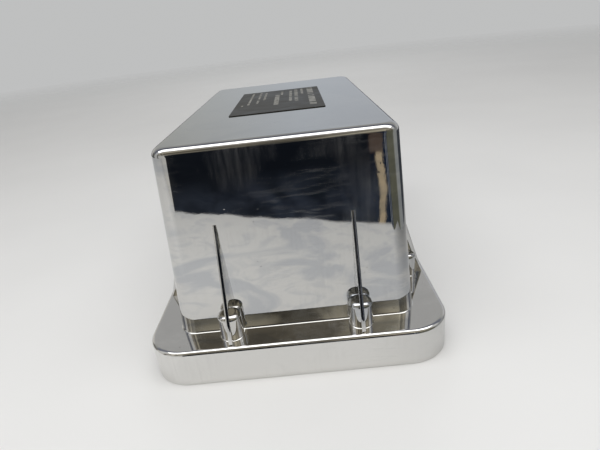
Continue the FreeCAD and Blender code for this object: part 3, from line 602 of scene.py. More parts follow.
@dataclass(frozen=True)
class ClearGlass(Finish):
    """The fuse's clear tube."""

    name: str = "clear_tube_glass"
    tint: Colour = rgb(0.93, 0.96, 0.95)

    def paint(self, graph: NodeGraph, shader: bpy.types.Node) -> None:
        """Fills in the surface shader.

        Args:
            graph: the material's nodes.
            shader: the surface shader to set and feed.
        """
        shader.inputs["Base Color"].default_value = self.tint
        shader.inputs["IOR"].default_value = 1.5
        shader.inputs["Transmission Weight"].default_value = 0.9
        smear = graph.noise(graph.coordinates(), 300.0, 3.0)
        graph.plug(graph.spread(smear, 0.3, 0.7, 0.02, 0.12), shader.inputs["Roughness"])


CHROME = ChromePlate()


# ---- Mesh helpers -----------------------------------------------------------
@dataclass(frozen=True)
class Bend:
    """One corner of a section: its place, the outline's corner radius there, and its rounding."""

    out: float
    high: float
    corner: float
    rounding: float = 0.0


@dataclass(frozen=True)
class Station:
    """One ring of a lofted skin, with the section's direction there."""

    out: float
    high: float
    corner: float
    run: Point


def section_stations(bends: list[Bend], steps: int) -> list[Station]:
    """Rounds a section's corners.

    Args:
        bends: the section's corners in order. The first and the last are its ends.
        steps: the number of segments in each rounding.

    Returns:
        The stations along the rounded section, each with its own direction.
    """

    def direction(a: Bend, b: Bend) -> Vector:
        """Gives the way from one corner of the section to another."""
        return Vector((b.out - a.out, b.high - a.high, b.corner - a.corner))

    def unit(v: Vector) -> Vector:
        """Scales a way to one millimetre in the section's plane."""
        return v / math.hypot(v.x, v.y)

    def station(place: Vector, run: Vector) -> Station:
        """Makes a station from its place and its direction."""
        return Station(place.x, place.y, place.z, tuple(run))

    first = unit(direction(bends[0], bends[1]))
    stations = [station(Vector((bends[0].out, bends[0].high, bends[0].corner)), first)]
    for before, here, after in zip(bends, bends[1:], bends[2:]):
        come = unit(direction(before, here))
        leave = unit(direction(here, after))
        turn = math.acos(max(-1, min(1, come.x * leave.x + come.y * leave.y)))
        reach = here.rounding * math.tan(turn / 2)
        corner = Vector((here.out, here.high, here.corner))
        start, end = corner - come * reach, corner + leave * reach
        side = 1 if come.x * leave.y - come.y * leave.x > 0 else -1
        for step in range(steps + 1):
            share = step / steps
            angle = turn * share
            ahead = here.rounding * math.sin(angle)
            aside = here.rounding * (1 - math.cos(angle))
            place = Vector((
                start.x + come.x * ahead - side * come.y * aside,
                start.y + come.y * ahead + side * come.x * aside,
                start.z + (end.z - start.z) * share,
            ))
            run = Vector((
                come.x * math.cos(angle) - side * come.y * math.sin(angle),
                come.y * math.cos(angle) + side * come.x * math.sin(angle),
                come.z + (leave.z - come.z) * share,
            ))
            stations.append(station(place, run))
    last = unit(direction(bends[-2], bends[-1]))
    stations.append(station(Vector((bends[-1].out, bends[-1].high, bends[-1].corner)), last))
    return stations


def lofted_skin(
    name: str, half_x: float, half_y: float, stations: list[Station], steps: int
) -> bpy.types.Mesh:
    """Carries a section round a rounded rectangle and caps both ends.

    Args:
        name: the mesh's name.
        half_x: half the rectangle's width where a station's out is 0, in millimetres.
        half_y: half its length there.
        stations: the rings, from the inner end of the section to its outer end.
        steps: the number of segments in each corner of the outline.

    Returns:
        A closed mesh in metres, with exact normals on its corners.
    """
    mesh = bpy.data.meshes.new(name)
    points: list[Point] = []
    normals: list[Vector] = []
    for ring in stations:
        out_run, up_run, corner_run = ring.run
        centre_x = half_x + ring.out - ring.corner
        centre_y = half_y + ring.out - ring.corner
        for quarter in range(4):
            for step in range(steps + 1):
                turn = math.pi / 2 * step / steps
                cos, sin = math.cos(turn), math.sin(turn)
                whole = turn + math.pi / 2 * quarter
                sign_x = 1 if quarter in (0, 3) else -1
                sign_y = 1 if quarter in (0, 1) else -1
                points.append((
                    MM * (sign_x * centre_x + ring.corner * math.cos(whole)),
                    MM * (sign_y * centre_y + ring.corner * math.sin(whole)),
                    MM * ring.high,
                ))
                lift = corner_run + (out_run - corner_run) * (cos + sin)
                outward = Vector((math.cos(whole) * up_run, math.sin(whole) * up_run, -lift))
                normals.append(outward.normalized())
    around = 4 * (steps + 1)
    faces = [
        (row + i, row + (i + 1) % around, row + around + (i + 1) % around, row + around + i)
        for row in range(0, around * (len(stations) - 1), around)
        for i in range(around)
    ]
    faces.append(tuple(reversed(range(around))))
    faces.append(tuple(range(around * (len(stations) - 1), around * len(stations))))
    mesh.from_pydata(points, [], faces)
    mesh.shade_smooth()
    mesh.normals_split_custom_set_from_vertices(normals)
    return mesh


def piece_from(name: str, mesh: bpy.types.Mesh, finish: Finish) -> bpy.types.Object:
    """Puts a mesh into the scene with one finish.

    Args:
        name: the piece's name.
        mesh: its mesh.
        finish: its finish.

    Returns:
        The object.
    """
    piece = bpy.data.objects.new(name, mesh)
    mesh.materials.clear()
    mesh.materials.append(finish.material())
    bpy.context.scene.collection.objects.link(piece)
    return piece


def settle(piece: bpy.types.Object, slot: str, *nodes: str) -> bpy.types.Object:
    """Makes a piece ride on the housing and stand for its nodes.

    Args:
        piece: the finished piece.
        slot: the name of a material slot; not used.
        nodes: the nodes that it replaces.

    Returns:
        The piece.
    """
    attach(piece, BODY)
    if nodes:
        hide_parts(*nodes)
    stands_for = ", ".join(nodes) or "itself"
    LOG.info("%s: %d faces, stands for %s", piece.name, len(piece.data.polygons), stands_for)
    return piece


def centre_and_half(node: str) -> tuple[Vector, Vector]:
    """Gives a node's middle and half its size, in millimetres."""
    low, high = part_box(node)
    return (low + high) / 2 / MM, (high - low) / 2 / MM


# ---- Geometry Nodes ---------------------------------------------------------
class PlacingTree:
    """A Geometry Nodes tree, built input by input."""

    def __init__(self, name: str) -> None:
        """Starts an empty tree with one geometry output.

        Args:
            name: the tree's name.
        """
        self.tree = bpy.data.node_groups.new(name, "GeometryNodeTree")
        self.tree.interface.new_socket("Geometry", in_out="OUTPUT", socket_type="NodeSocketGeometry")
        self.graph = NodeGraph(self.tree)
        self.ports = self.graph.add("NodeGroupInput")
        self.values: dict[str, object] = {}

    def input(self, name: str, kind: str, value: object) -> bpy.types.NodeSocket:
        """Adds a named input with its value.

        Args:
            name: the input's name.
            kind: its socket type, such as Float or Object.
            value: the value that the modifier gets.

        Returns:
            The socket inside the tree.
        """
        made = self.tree.interface.new_socket(name, in_out="INPUT", socket_type=f"NodeSocket{kind}")
        self.values[made.identifier] = value
        return self.ports.outputs[name]

    def finish(self, geometry: bpy.types.NodeSocket, material: bpy.types.NodeSocket) -> None:
        """Ends the tree with Realize Instances and Set Material.

        Args:
            geometry: the instances.
            material: the finish's input.
        """
        real = self.graph.add("GeometryNodeRealizeInstances")
        self.graph.plug(geometry, real.inputs["Geometry"])
        dressed = self.graph.add("GeometryNodeSetMaterial")
        self.graph.plug(real.outputs["Geometry"], dressed.inputs["Geometry"])
        self.graph.plug(material, dressed.inputs["Material"])
        out = self.graph.add("NodeGroupOutput")
        self.graph.plug(dressed.outputs["Geometry"], out.inputs["Geometry"])

    def piece(self, name: str) -> bpy.types.Object:
        """Runs the tree once and keeps its result as a plain mesh.

        Args:
            name: the piece's name.

        Returns:
            The object, with no modifier left on it.
        """
        carrier = bpy.data.objects.new(name, bpy.data.meshes.new(name + "_start"))
        bpy.context.scene.collection.objects.link(carrier)
        modifier = carrier.modifiers.new("place", "NODES")
        modifier.node_group = self.tree
        for identifier, value in self.values.items():
            modifier[identifier] = value
        made = carrier.evaluated_get(bpy.context.evaluated_depsgraph_get())
        mesh = bpy.data.meshes.new_from_object(made)
        mesh.name = name
        carrier.modifiers.remove(modifier)
        carrier.data = mesh
        return carrier


@dataclass(frozen=True)
class BossRing:
    """Where the ten bosses stand, which the closing screws share, in millimetres."""

    half_width: float
    half_length: float
    end_spacing: float = 58.0
    side_spacing: float = 62.0085

    def place(self, name: str, copy: bpy.types.Object, finish: Finish) -> bpy.types.Object:
        """Sets a copy of one object at each boss, turned to face outwards.

        Args:
            name: the new piece's name.
            copy: the object to copy, made at the origin and facing -Y.
            finish: the finish of the copies.

        Returns:
            The new piece. The copied object is removed.
        """
        tree = PlacingTree(name + "_tree")
        graph = tree.graph
        thing = tree.input("Copy", "Object", copy)
        half_x = tree.input("Half width", "Float", self.half_width * MM)
        half_y = tree.input("Half length", "Float", self.half_length * MM)
        end = tree.input("End spacing", "Float", self.end_spacing * MM)
        side = tree.input("Side spacing", "Float", self.side_spacing * MM)
        material = tree.input("Finish", "Material", finish.material())
        info = graph.add("GeometryNodeObjectInfo")
        graph.plug(thing, info.inputs["Object"])
        half_of_tree = graph.add("GeometryNodeJoinGeometry")
        rows = (
            (2, graph.times(end, -0.5), graph.times(half_y, -1.0), end, 0.0, 0.0),
            (3, half_x, graph.times(side, -1.0), 0.0, side, math.pi / 2),
        )
        for count, start_x, start_y, step_x, step_y, turn in rows:
            line = graph.add("GeometryNodeMeshLine")
            line.inputs["Count"].default_value = count
            for socket, (x, y) in (("Start Location", (start_x, start_y)), ("Offset", (step_x, step_y))):
                graph.plug(graph.vector(x, y), line.inputs[socket])
            copies = graph.add("GeometryNodeInstanceOnPoints")
            graph.plug(line.outputs["Mesh"], copies.inputs["Points"])
            graph.plug(info.outputs["Geometry"], copies.inputs["Instance"])
            copies.inputs["Rotation"].default_value = (0, 0, turn)
            graph.plug(copies.outputs["Instances"], half_of_tree.inputs["Geometry"])
        turned = graph.add("GeometryNodeTransform")
        graph.plug(half_of_tree.outputs["Geometry"], turned.inputs["Geometry"])
        turned.inputs["Rotation"].default_value = (0, 0, math.pi)
        whole = graph.add("GeometryNodeJoinGeometry")
        graph.plug(half_of_tree.outputs["Geometry"], whole.inputs["Geometry"])
        graph.plug(turned.outputs["Geometry"], whole.inputs["Geometry"])
        tree.finish(whole.outputs["Geometry"], material)
        piece = tree.piece(name)
        bpy.data.objects.remove(copy)
        return piece


# ---- Housing ----------------------------------------------------------------
@dataclass
class Housing:
    """The plated casting: box, flange and skirt as one skin, with its bosses and gussets."""

    box_height: float = 85.0
    draft: float = math.tan(math.radians(2.7))
    wall: float = 2.5
    top_rounding: float = 4.0
    box_corner: float = 7.5
    ledge: float = 14.0
    flange_thickness: float = 3.0
    skirt_height: float = 17.5
    skirt_wall: float = 3.6
    skirt_lip: float = 1.6
    shoulder: float = 8.0
    flange_corner: float = 18.5
    flange_rounding: float = 2.0
    root_fillet: float = 0.7
    edge_break: float = 0.35
    end_flat: float = 2.0
    corner_steps: int = 20
    round_steps: int = 8
    boss_radius: float = 5.2
    boss_height: float = 12.0
    boss_rounding: float = 2.4
    boss_flare: float = 0.5
    boss_centre: float = 1.0
    flare_lift: float = 0.02
    flare_edge: float = 0.01
    sunk_edge: float = 0.2
    boss_from_wall: float = 3.3
    gusset_thickness: float = 1.7
    gusset_height: float = 51.5
    gusset_toe: float = 11.6
    gusset_toe_height: float = 0.8
    gusset_root: float = 1.2
    gusset_edge: float = 0.16
    half_foot: Vector = field(init=False)

    def __post_init__(self) -> None:
        """Reads the foot of the box from the frame."""
        half = centre_and_half("housing_shell")[1]
        self.half_foot = Vector((half.x - self.ledge, half.y - self.ledge))

    def build(self) -> None:
        """Makes the casting and its bosses, and sets both in the frame."""
        settle(self.skin(), "chrome_plate", "housing_shell")
        settle(self.bosses(), "chrome_plate")

    def skin(self) -> bpy.types.Object:
        """Makes the closed skin of the box, flange and skirt.

        Returns:
            The piece.
        """
        top = self.skirt_height + self.box_height
        lean = self.box_height * self.draft
        under = self.skirt_height - self.flange_thickness
        ceiling = top - self.wall
        inner_lean = (ceiling - under) * self.draft
        inner_top = -lean - self.wall
        inner_corner = self.box_corner - self.wall
        cap = self.end_flat
        edge = self.edge_break
        skirt_inside = self.ledge - self.skirt_wall
        lip_inside = self.ledge - self.skirt_lip
        skirt_corner = self.flange_corner - self.skirt_wall
        lip_corner = self.flange_corner - self.skirt_lip
        bends = [
            Bend(inner_top - cap, ceiling, inner_corner - cap),
            Bend(inner_top, ceiling, inner_corner, self.top_rounding - self.wall),
            Bend(inner_top + inner_lean, under, inner_corner, edge),
            Bend(skirt_inside, under, skirt_corner, edge),
            Bend(skirt_inside, self.shoulder, skirt_corner, edge),
            Bend(lip_inside, self.shoulder, lip_corner, edge),
            Bend(lip_inside, 0, lip_corner, edge),
            Bend(self.ledge, 0, self.flange_corner, edge),
            Bend(self.ledge, self.skirt_height, self.flange_corner, self.flange_rounding),
            Bend(0, self.skirt_height, self.box_corner, self.root_fillet),
            Bend(-lean, top, self.box_corner, self.top_rounding),
            Bend(-lean - self.top_rounding - cap, top, self.box_corner - self.top_rounding - cap),
        ]
        stations = section_stations(bends, self.round_steps)
        mesh = lofted_skin("housing_casting", self.half_foot.x, self.half_foot.y, stations, self.corner_steps)
        return piece_from("housing_casting", mesh, CHROME)

    def bosses(self) -> bpy.types.Object:
        """Makes the ten bosses with their gussets.

        Returns:
            The piece.
        """
        one = piece_from("boss_and_gusset", self.one_boss(), CHROME)
        ring = BossRing(self.half_foot.x + self.boss_from_wall, self.half_foot.y + self.boss_from_wall)
        return ring.place("bosses_and_gussets", one, CHROME)

    def one_boss(self) -> bpy.types.Mesh:
        """Makes one boss and its gusset about the boss's axis, with the wall on the +Y side.

        Returns:
            The joined mesh.
        """
        foot = self.skirt_height
        sunk = foot - self.flange_thickness / 2
        top = foot + self.boss_height
        radius = self.boss_radius
        flare = self.boss_flare
        cap = radius - self.boss_rounding - self.boss_centre
        lifted = foot + self.flare_lift
        bends = [
            Bend(-flare, sunk, radius - flare),
            Bend(flare, sunk, radius + flare, self.sunk_edge),
            Bend(flare, lifted, radius + flare, self.flare_edge),
            Bend(0, lifted, radius, flare),
            Bend(0, top, radius, self.boss_rounding),
            Bend(-self.boss_rounding - cap, top, radius - self.boss_rounding - cap),
        ]
        stations = section_stations(bends, self.round_steps)
        post = lofted_skin("boss", radius, radius, stations, self.corner_steps // 2)
        form = bmesh.new()
        form.from_mesh(post)
        bpy.data.meshes.remove(post)
        gusset = self.gusset()
        form.from_mesh(gusset)
        bpy.data.meshes.remove(gusset)
        mesh = bpy.data.meshes.new("boss_and_gusset")
        form.to_mesh(mesh)
        form.free()
        mesh.shade_smooth()
        return mesh

    def gusset(self) -> bpy.types.Mesh:
        """Makes one gusset with softened edges.

        Returns:
            The mesh.
        """
        foot = self.skirt_height
        apex = -self.gusset_height * self.draft
        root = foot - self.gusset_root
        outline = [
            (-self.gusset_root, root),
            (self.gusset_toe, root),
            (self.gusset_toe, foot + self.gusset_toe_height),
            (apex, foot + self.gusset_height),
            (apex - self.gusset_root, foot + self.gusset_height),
        ]
        form = bmesh.new()
        half = self.gusset_thickness / 2
        sides = [
            [form.verts.new((MM * x, MM * (self.boss_from_wall - out), MM * z)) for out, z in outline]
            for x in (-half, half)
        ]
        form.faces.new(sides[0])
        form.faces.new(list(reversed(sides[1])))
        count = len(outline)
        for i in range(count):
            j = (i + 1) % count
            form.faces.new((sides[0][j], sides[0][i], sides[1][i], sides[1][j]))
        bmesh.ops.recalc_face_normals(form, faces=form.faces)
        bmesh.ops.bevel(
            form, geom=form.edges[:], offset=self.gusset_edge * MM, segments=3, profile=0.5, affect="EDGES"
        )
        mesh = bpy.data.meshes.new("gusset")
        form.to_mesh(mesh)
        form.free()
        return mesh


# ---- Rating plate -----------------------------------------------------------
@dataclass(frozen=True)
class PrintRow:
    """One row of generic marks on the rating plate, in millimetres from the plate's middle."""

    across: float
    start: float
    length: float
    height: float
    seed: int


@dataclass
class RatingPlate:
    """The printed foil on the top, with blank marks in place of words."""

    corner: float = 0.8
    edge: float = 0.12
    face_inset: float = 0.6
    print_height: float = 0.02
    mark_pitch: float = 0.78
    mark_share: float = 0.74
    kept_share: float = 0.82
    corner_steps: int = 6
    round_steps: int = 4
    rows: tuple[PrintRow, ...] = (
        PrintRow(18.9, -34.0, 72.0, 3.6, 3),
        PrintRow(13.9, 12.0, 24.0, 1.5, 5),
        PrintRow(10.2, -14.0, 50.0, 2.0, 7),
        PrintRow(6.8, -12.0, 44.0, 1.7, 11),
        PrintRow(1.4, 16.0, 16.0, 1.4, 13),
        PrintRow(-1.2, -20.0, 40.0, 2.7, 17),
        PrintRow(-8.8, 2.0, 32.0, 1.3, 19),
        PrintRow(-12.3, -9.0, 46.0, 1.3, 23),
        PrintRow(-17.2, -11.0, 47.0, 1.3, 29),
        PrintRow(-20.5, -14.0, 6.0, 1.1, 31),
    )

    def build(self) -> None:
        """Makes the foil and its marks, and sets both in the frame."""
        centre, half = centre_and_half("rating_plate")
        low, high = centre.z - half.z, centre.z + half.z
        bends = [
            Bend(-self.face_inset, low, self.corner - self.face_inset),
            Bend(0, low, self.corner, self.edge / 2),
            Bend(0, high - self.print_height, self.corner, self.edge),
            Bend(-self.face_inset, high - self.print_height, self.corner - self.face_inset),
        ]
        stations = section_stations(bends, self.round_steps)
        mesh = lofted_skin("rating_foil", half.x, half.y, stations, self.corner_steps)
        mesh.transform(Matrix.Translation((MM * centre.x, MM * centre.y, 0)))
        settle(piece_from("rating_foil", mesh, PrintedFoil()), "rating_plate", "rating_plate")
        form = bmesh.new()
        for row in self.rows:
            made = self.row_of_marks(row, centre, high)
            form.from_mesh(made.data)
            bpy.data.objects.remove(made)
        marks = bpy.data.meshes.new("rating_print")
        form.to_mesh(marks)
        form.free()
        settle(piece_from("rating_print", marks, PrintInk()), "rating_plate")

    def row_of_marks(self, row: PrintRow, centre: Vector, high: float) -> bpy.types.Object:
        """Makes one row of small blank marks along Y, with random ones left out as gaps.

        Args:
            row: the row's place and size.
            centre: the plate's middle.
            high: the top of the marks.

        Returns:
            The row as an object.
        """
        tree = PlacingTree(f"print_row_{row.seed}")
        graph = tree.graph
        length = tree.input("Row length", "Float", row.length * MM)
        height = tree.input("Mark height", "Float", row.height * MM)
        share = tree.input("Mark share", "Float", self.mark_share)
        seed = tree.input("Seed", "Int", row.seed)
        material = tree.input("Finish", "Material", PrintInk().material())
        pitch = graph.times(height, self.mark_pitch)
        line = graph.add("GeometryNodeMeshLine")
        graph.plug(graph.math("FLOOR", graph.math("DIVIDE", length, pitch)), line.inputs["Count"])
        graph.plug(graph.vector(0.0, pitch), line.inputs["Offset"])
        line.inputs["Start Location"].default_value = (
            MM * (centre.x + row.across),
            MM * (centre.y + row.start + row.height / 2),
            MM * (high - self.print_height),
        )
        kept = graph.add("FunctionNodeRandomValue", data_type="BOOLEAN")
        kept.inputs["Probability"].default_value = self.kept_share
        graph.plug(seed, kept.inputs["Seed"])
        size = graph.vector(height, graph.times(pitch, share), 2 * self.print_height * MM)
        mark = graph.add("GeometryNodeMeshCube")
        graph.plug(size, mark.inputs["Size"])
        copies = graph.add("GeometryNodeInstanceOnPoints")
        graph.plug(line.outputs["Mesh"], copies.inputs["Points"])
        graph.plug(kept.outputs["Value"], copies.inputs["Selection"])
        graph.plug(mark.outputs["Mesh"], copies.inputs["Instance"])
        tree.finish(copies.outputs["Instances"], material)
        return tree.piece(f"print_row_{row.seed}")


# ---- Everything else --------------------------------------------------------
@dataclass
class Dressing:
    """Gives each node whose shape stays as it is its finish."""

    finishes: dict[Finish, tuple[str, ...]]

    def build(self) -> None:
        """Puts each finish on its nodes."""
        for finish, nodes in self.finishes.items():
            for node in nodes:
                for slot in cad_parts[node].material_slots:
                    slot.material = finish.material()
                LOG.info("%s: dressed in %s", node, finish.name)


def inner_dressing() -> Dressing:
    """Lists the finishes of the plate, its fasteners and what it carries.

    Returns:
        The dressing of every node whose shape stays as it is.
    """
    zinc = SheetMetal()
    even = (500, 500, 500)
    hardware = SheetMetal("plated_fasteners", rgb(0.6, 0.6, 0.57), rgb(0.45, 0.46, 0.45), 0.2, 0.36, even)
    tinned = SheetMetal("tinned_terminals", rgb(0.66, 0.58, 0.36), rgb(0.52, 0.45, 0.28), 0.2, 0.35, even)
    nickel = SheetMetal("nickel_clips", rgb(0.62, 0.59, 0.53), rgb(0.5, 0.48, 0.43), 0.15, 0.3, even)
    rubber = Moulded("soft_rubber", rgb(0.03, 0.03, 0.03), rgb(0.018, 0.018, 0.018), 0.6, 0.85)
    phenolic = Moulded("dark_phenolic", rgb(0.035, 0.032, 0.03), rgb(0.02, 0.019, 0.018), 0.25, 0.42)
    nylon = Moulded("cream_nylon", rgb(0.70, 0.67, 0.56), rgb(0.62, 0.59, 0.48), 0.4, 0.55)
    tape = Moulded("amber_tape", rgb(0.76, 0.5, 0.06), rgb(0.66, 0.42, 0.05), 0.18, 0.32, 400.0)
    grey = Moulded("grey_sleeve", rgb(0.16, 0.165, 0.17), rgb(0.12, 0.125, 0.13), 0.3, 0.45)
    red = Moulded("red_sleeve", rgb(0.4, 0.02, 0.012), rgb(0.32, 0.016, 0.01), 0.3, 0.45)
    core = Layered("stacked_laminations")
    copper = Layered(
        "wound_copper", rgb(0.62, 0.24, 0.09), rgb(0.36, 0.12, 0.04), Axis.UP, 0.0004, 0.9, 0.25, 0.4
    )
    return Dressing({
        zinc: ("base_plate", "front_bracket", "rear_bracket"),
        hardware: (
            "base_screws", "base_washers", "mount_nuts", "core_bolts", "core_nuts", "chassis_screws",
            "chassis_nuts", "terminal_screws", "fuse_screw", "earth_stud", "earth_nuts",
        ),
        tinned: ("solder_tags", "terminal_links", "earth_tag"),
        nickel: ("fuse_clips", "fuse_caps"),
        rubber: ("base_gasket", "cable_grommet"),
        phenolic: ("terminal_block", "fuse_base"),
        nylon: ("bobbin",),
        tape: ("winding_wraps",),
        grey: ("primary_leads",),
        red: ("secondary_leads",),
        core: ("core_stack",),
        copper: ("primary_winding", "secondary_winding"),
        ClearGlass(): ("fuse_tube",),
    })


# ---- Studio -----------------------------------------------------------------
@dataclass(frozen=True)
class Lamp:
    """One soft overhead lamp, in metres and watts."""

    name: str
    along: float
    high: float
    width: float
    depth: float
    power: float
    mirrored: bool = True


@dataclass(frozen=True)
class PaleTable(Finish):
    """The table top. What the plating mirrors of it ends at the table's front edge."""

    name: str = "pale_table"
    light: Colour = rgb(0.80, 0.80, 0.795)
    dark: Colour = rgb(0.77, 0.77, 0.765)
    shadow: Colour = rgb(0.12, 0.125, 0.13)
    front: float = -0.307
    slant: float = 0.51
    edge_wave: float = 0.006
    edge_soft: float = 0.004
    shaded: float = 0.16
    front_shade: float = 0.35
    right_shade: float = 0.8
    right_shaded_from: float = 0.03
    right: float = 0.20
    left: float = -0.75
    back: float = 0.46
    fade_from: float = 0.5
    fade_to: float = 2.6

    def paint(self, graph: NodeGraph, shader: bpy.types.Node) -> None:
        """Fills in the surface shader.

        Args:
            graph: the material's nodes.
            shader: the surface shader to set and feed.
        """
        place = graph.coordinates()
        axes = graph.apart(place)
        tone = graph.mix(graph.spread(graph.noise(place, 6.0, 3.0), 0.3, 0.7, 0, 1), self.light, self.dark)
        shader.inputs["Roughness"].default_value = 0.6
        shader.inputs["Specular IOR Level"].default_value = 0.15
        ragged = graph.spread(graph.noise(place, 26.0, 4.0), 0.3, 0.7, -self.edge_wave, self.edge_wave)
        edge = graph.math("ADD", graph.math("MULTIPLY_ADD", axes["X"], self.slant, self.front), ragged)
        inward = graph.math("SUBTRACT", axes["Y"], edge)
        on_table = graph.spread(inward, -self.edge_soft, self.edge_soft, 0, 1)
        for operation, axis, end in (
            ("LESS_THAN", "Y", self.back), ("LESS_THAN", "X", self.right), ("GREATER_THAN", "X", self.left),
        ):
            on_table = graph.times(on_table, graph.math(operation, axes[axis], end))
        reach = graph.add("ShaderNodeVectorMath", operation="LENGTH")
        graph.plug(place, reach.inputs[0])
        faded = graph.spread(reach.outputs["Value"], self.fade_from, self.fade_to, 1, 0)
        rays = graph.add("ShaderNodeLightPath")
        other = graph.math("SUBTRACT", 1.0, rays.outputs["Is Camera Ray"])
        near_edge = graph.spread(inward, 0.0, self.shaded, self.front_shade, 0)
        near_right = graph.spread(axes["X"], self.right_shaded_from, self.right, 0, self.right_shade)
        shade = graph.times(graph.math("MAXIMUM", near_edge, near_right), other)
        graph.plug(graph.mix(shade, tone, self.shadow), shader.inputs["Base Color"])
        seen = graph.times(rays.outputs["Is Camera Ray"], faded)
        graph.plug(graph.math("ADD", seen, graph.times(other, on_table)), shader.inputs["Alpha"])


@dataclass(frozen=True)
class Stripe:
    """One upright stripe of the room, in degrees from the near side to the right."""

    start: float
    end: float
    tone: Colour


@dataclass
class Studio:
    """A pale table that ends in front of the housing, soft overhead lamps and a dim room.

    The room's lines are the upward part of a direction, from where a change starts to
    where it is full.
    """

    table_reach: float = 4.0
    lens: float = 26.54
    sensor: float = 36.0
    camera_place: Point = (0.011516, -0.262929, 0.139830)
    azimuth: float = -1.70
    elevation: float = -23.98
    roll: float = -6.72
    backdrop: Colour = rgb(0.52, 0.525, 0.525)
    far_floor: Colour = rgb(0.05, 0.055, 0.065)
    beam: Colour = rgb(0.60, 0.55, 0.43)
    wobble: float = 0.001
    stripe_edge: float = 0.12
    near_floor_line: Span = (-0.19, -0.26)
    far_floor_line: Span = (0.02, -0.05)
    door_line: Span = (-0.180, -0.172)
    ceiling_line: Span = (0.32, 0.52)
    far_from: float = 105.0
    beams_over: Span = (0.33, 0.38)
    beams_near: Span = (-0.25, -0.1)
    near_floor: Stripe = Stripe(-18.3, 10.5, rgb(0.035, 0.043, 0.06))
    door_post: Stripe = Stripe(9.25, 10.15, rgb(0.42, 0.34, 0.23))
    door_head: Stripe = Stripe(8.5, 10.2, rgb(0.085, 0.062, 0.050))
    glints: tuple[Stripe, ...] = (
        Stripe(13.5, 15.0, rgb(0.5, 0.52, 0.55)),
        Stripe(21.0, 22.2, rgb(0.5, 0.52, 0.55)),
    )
    lamps: tuple[Lamp, ...] = (
        Lamp("lamp_over_front", -0.15, 1.0, 1.7, 0.42, 5.2),
        Lamp("lamp_over_back", 1.25, 1.0, 0.62, 0.75, 3.4, mirrored=False),
        Lamp("lamp_fill", -0.42, 0.55, 0.7, 0.3, 1.6, mirrored=False),
    )

    def build(self) -> None:
        """Makes the camera, the table, the lamps and the room."""
        self.add_camera()
        self.add_table()
        self.add_lamps()
        self.add_room()
        bpy.context.scene.view_settings.view_transform = "Standard"

    def add_camera(self) -> None:
        """Makes the camera."""
        data = bpy.data.cameras.new("camera")
        data.lens = self.lens
        data.sensor_width = self.sensor
        data.clip_start = 0.01
        camera = bpy.data.objects.new("camera", data)
        turn = (
            Matrix.Rotation(math.radians(-self.azimuth), 4, "Z")
            @ Matrix.Rotation(math.radians(90 + self.elevation), 4, "X")
            @ Matrix.Rotation(math.radians(self.roll), 4, "Z")
        )
        camera.matrix_world = Matrix.Translation(self.camera_place) @ turn
        bpy.context.scene.collection.objects.link(camera)
        bpy.context.scene.camera = camera

    def add_table(self) -> None:
        """Makes the pale table top."""
        mesh = bpy.data.meshes.new("table")
        reach = self.table_reach
        corners = [(-reach, -reach, 0), (reach, -reach, 0), (reach, reach, 0), (-reach, reach, 0)]
        mesh.from_pydata(corners, [], [(0, 1, 2, 3)])
        piece_from("table", mesh, PaleTable())

    def add_lamps(self) -> None:
        """Makes the soft overhead lamps."""
        for lamp in self.lamps:
            data = bpy.data.lights.new(lamp.name, "AREA")
            data.shape = "RECTANGLE"
            data.size = lamp.width
            data.size_y = lamp.depth
            data.energy = lamp.power
            made = bpy.data.objects.new(lamp.name, data)
            made.location = (0, lamp.along, lamp.high)
            made.visible_camera = False
            made.visible_glossy = lamp.mirrored
            bpy.context.scene.collection.objects.link(made)

    def add_room(self) -> None:
        """Makes the room that the plating mirrors: dim on the near side, pale elsewhere."""
        world = bpy.data.worlds.new("room")
        world.use_nodes = True
        bpy.context.scene.world = world
        graph = NodeGraph(world.node_tree)
        heading = graph.add("ShaderNodeTexCoord").outputs["Generated"]
        way = graph.apart(heading)
        wobble = graph.spread(graph.noise(heading, 9.0, 3.0), 0.3, 0.7, -self.wobble, self.wobble)
        near = graph.times(way["Y"], -1.0)
        turn = graph.math("DIVIDE", graph.math("ARCTAN2", way["X"], near), math.tau)
        around = graph.times(graph.math("ADD", turn, wobble), 360.0)
        over = graph.math("DIVIDE", graph.math("ARCTAN2", way["Z"], near), math.pi)
        walls = graph.ramp(graph.spread(around, -180, 180, 0, 1), self.walls())
        patchy = graph.spread(graph.noise(heading, 16.0, 4.0, 0.5), 0.35, 0.65, 0.2, 1)
        low_front = graph.times(graph.spread(way["Z"], *self.near_floor_line, 0, 1), patchy)
        low = graph.spread(way["Z"], *self.far_floor_line, 0, 1)
        behind = graph.math("GREATER_THAN", graph.math("ABSOLUTE", around), self.far_from)
        walls = self.striped(graph, walls, around, self.near_floor, low_front)
        walls = self.striped(graph, walls, around, self.door_post)
        walls = graph.mix(graph.times(low, behind), walls, self.far_floor)
        above_door = graph.spread(way["Z"], *self.door_line, 0, 1)
        walls = self.striped(graph, walls, around, self.door_head, above_door)
        for glint in self.glints:
            walls = self.striped(graph, walls, around, glint)
        beams = graph.spread(graph.noise(heading, 3.2, 4.0, 0.8), 0.47, 0.66, 0, 1)
        beams = graph.times(beams, graph.spread(over, *self.beams_over, 1, 0))
        beams = graph.times(beams, graph.spread(way["Y"], *self.beams_near, 1, 0))
        ceiling = graph.ramp(graph.math("ADD", over, wobble), self.ceiling())
        ceiling = graph.mix(beams, ceiling, self.beam)
        high = graph.spread(graph.math("ADD", way["Z"], wobble), *self.ceiling_line, 0, 1)
        seen = graph.mix(high, walls, ceiling)
        rays = graph.add("ShaderNodeLightPath")
        shown = graph.mix(rays.outputs["Is Camera Ray"], seen, self.backdrop)
        graph.plug(shown, world.node_tree.nodes["Background"].inputs["Color"])

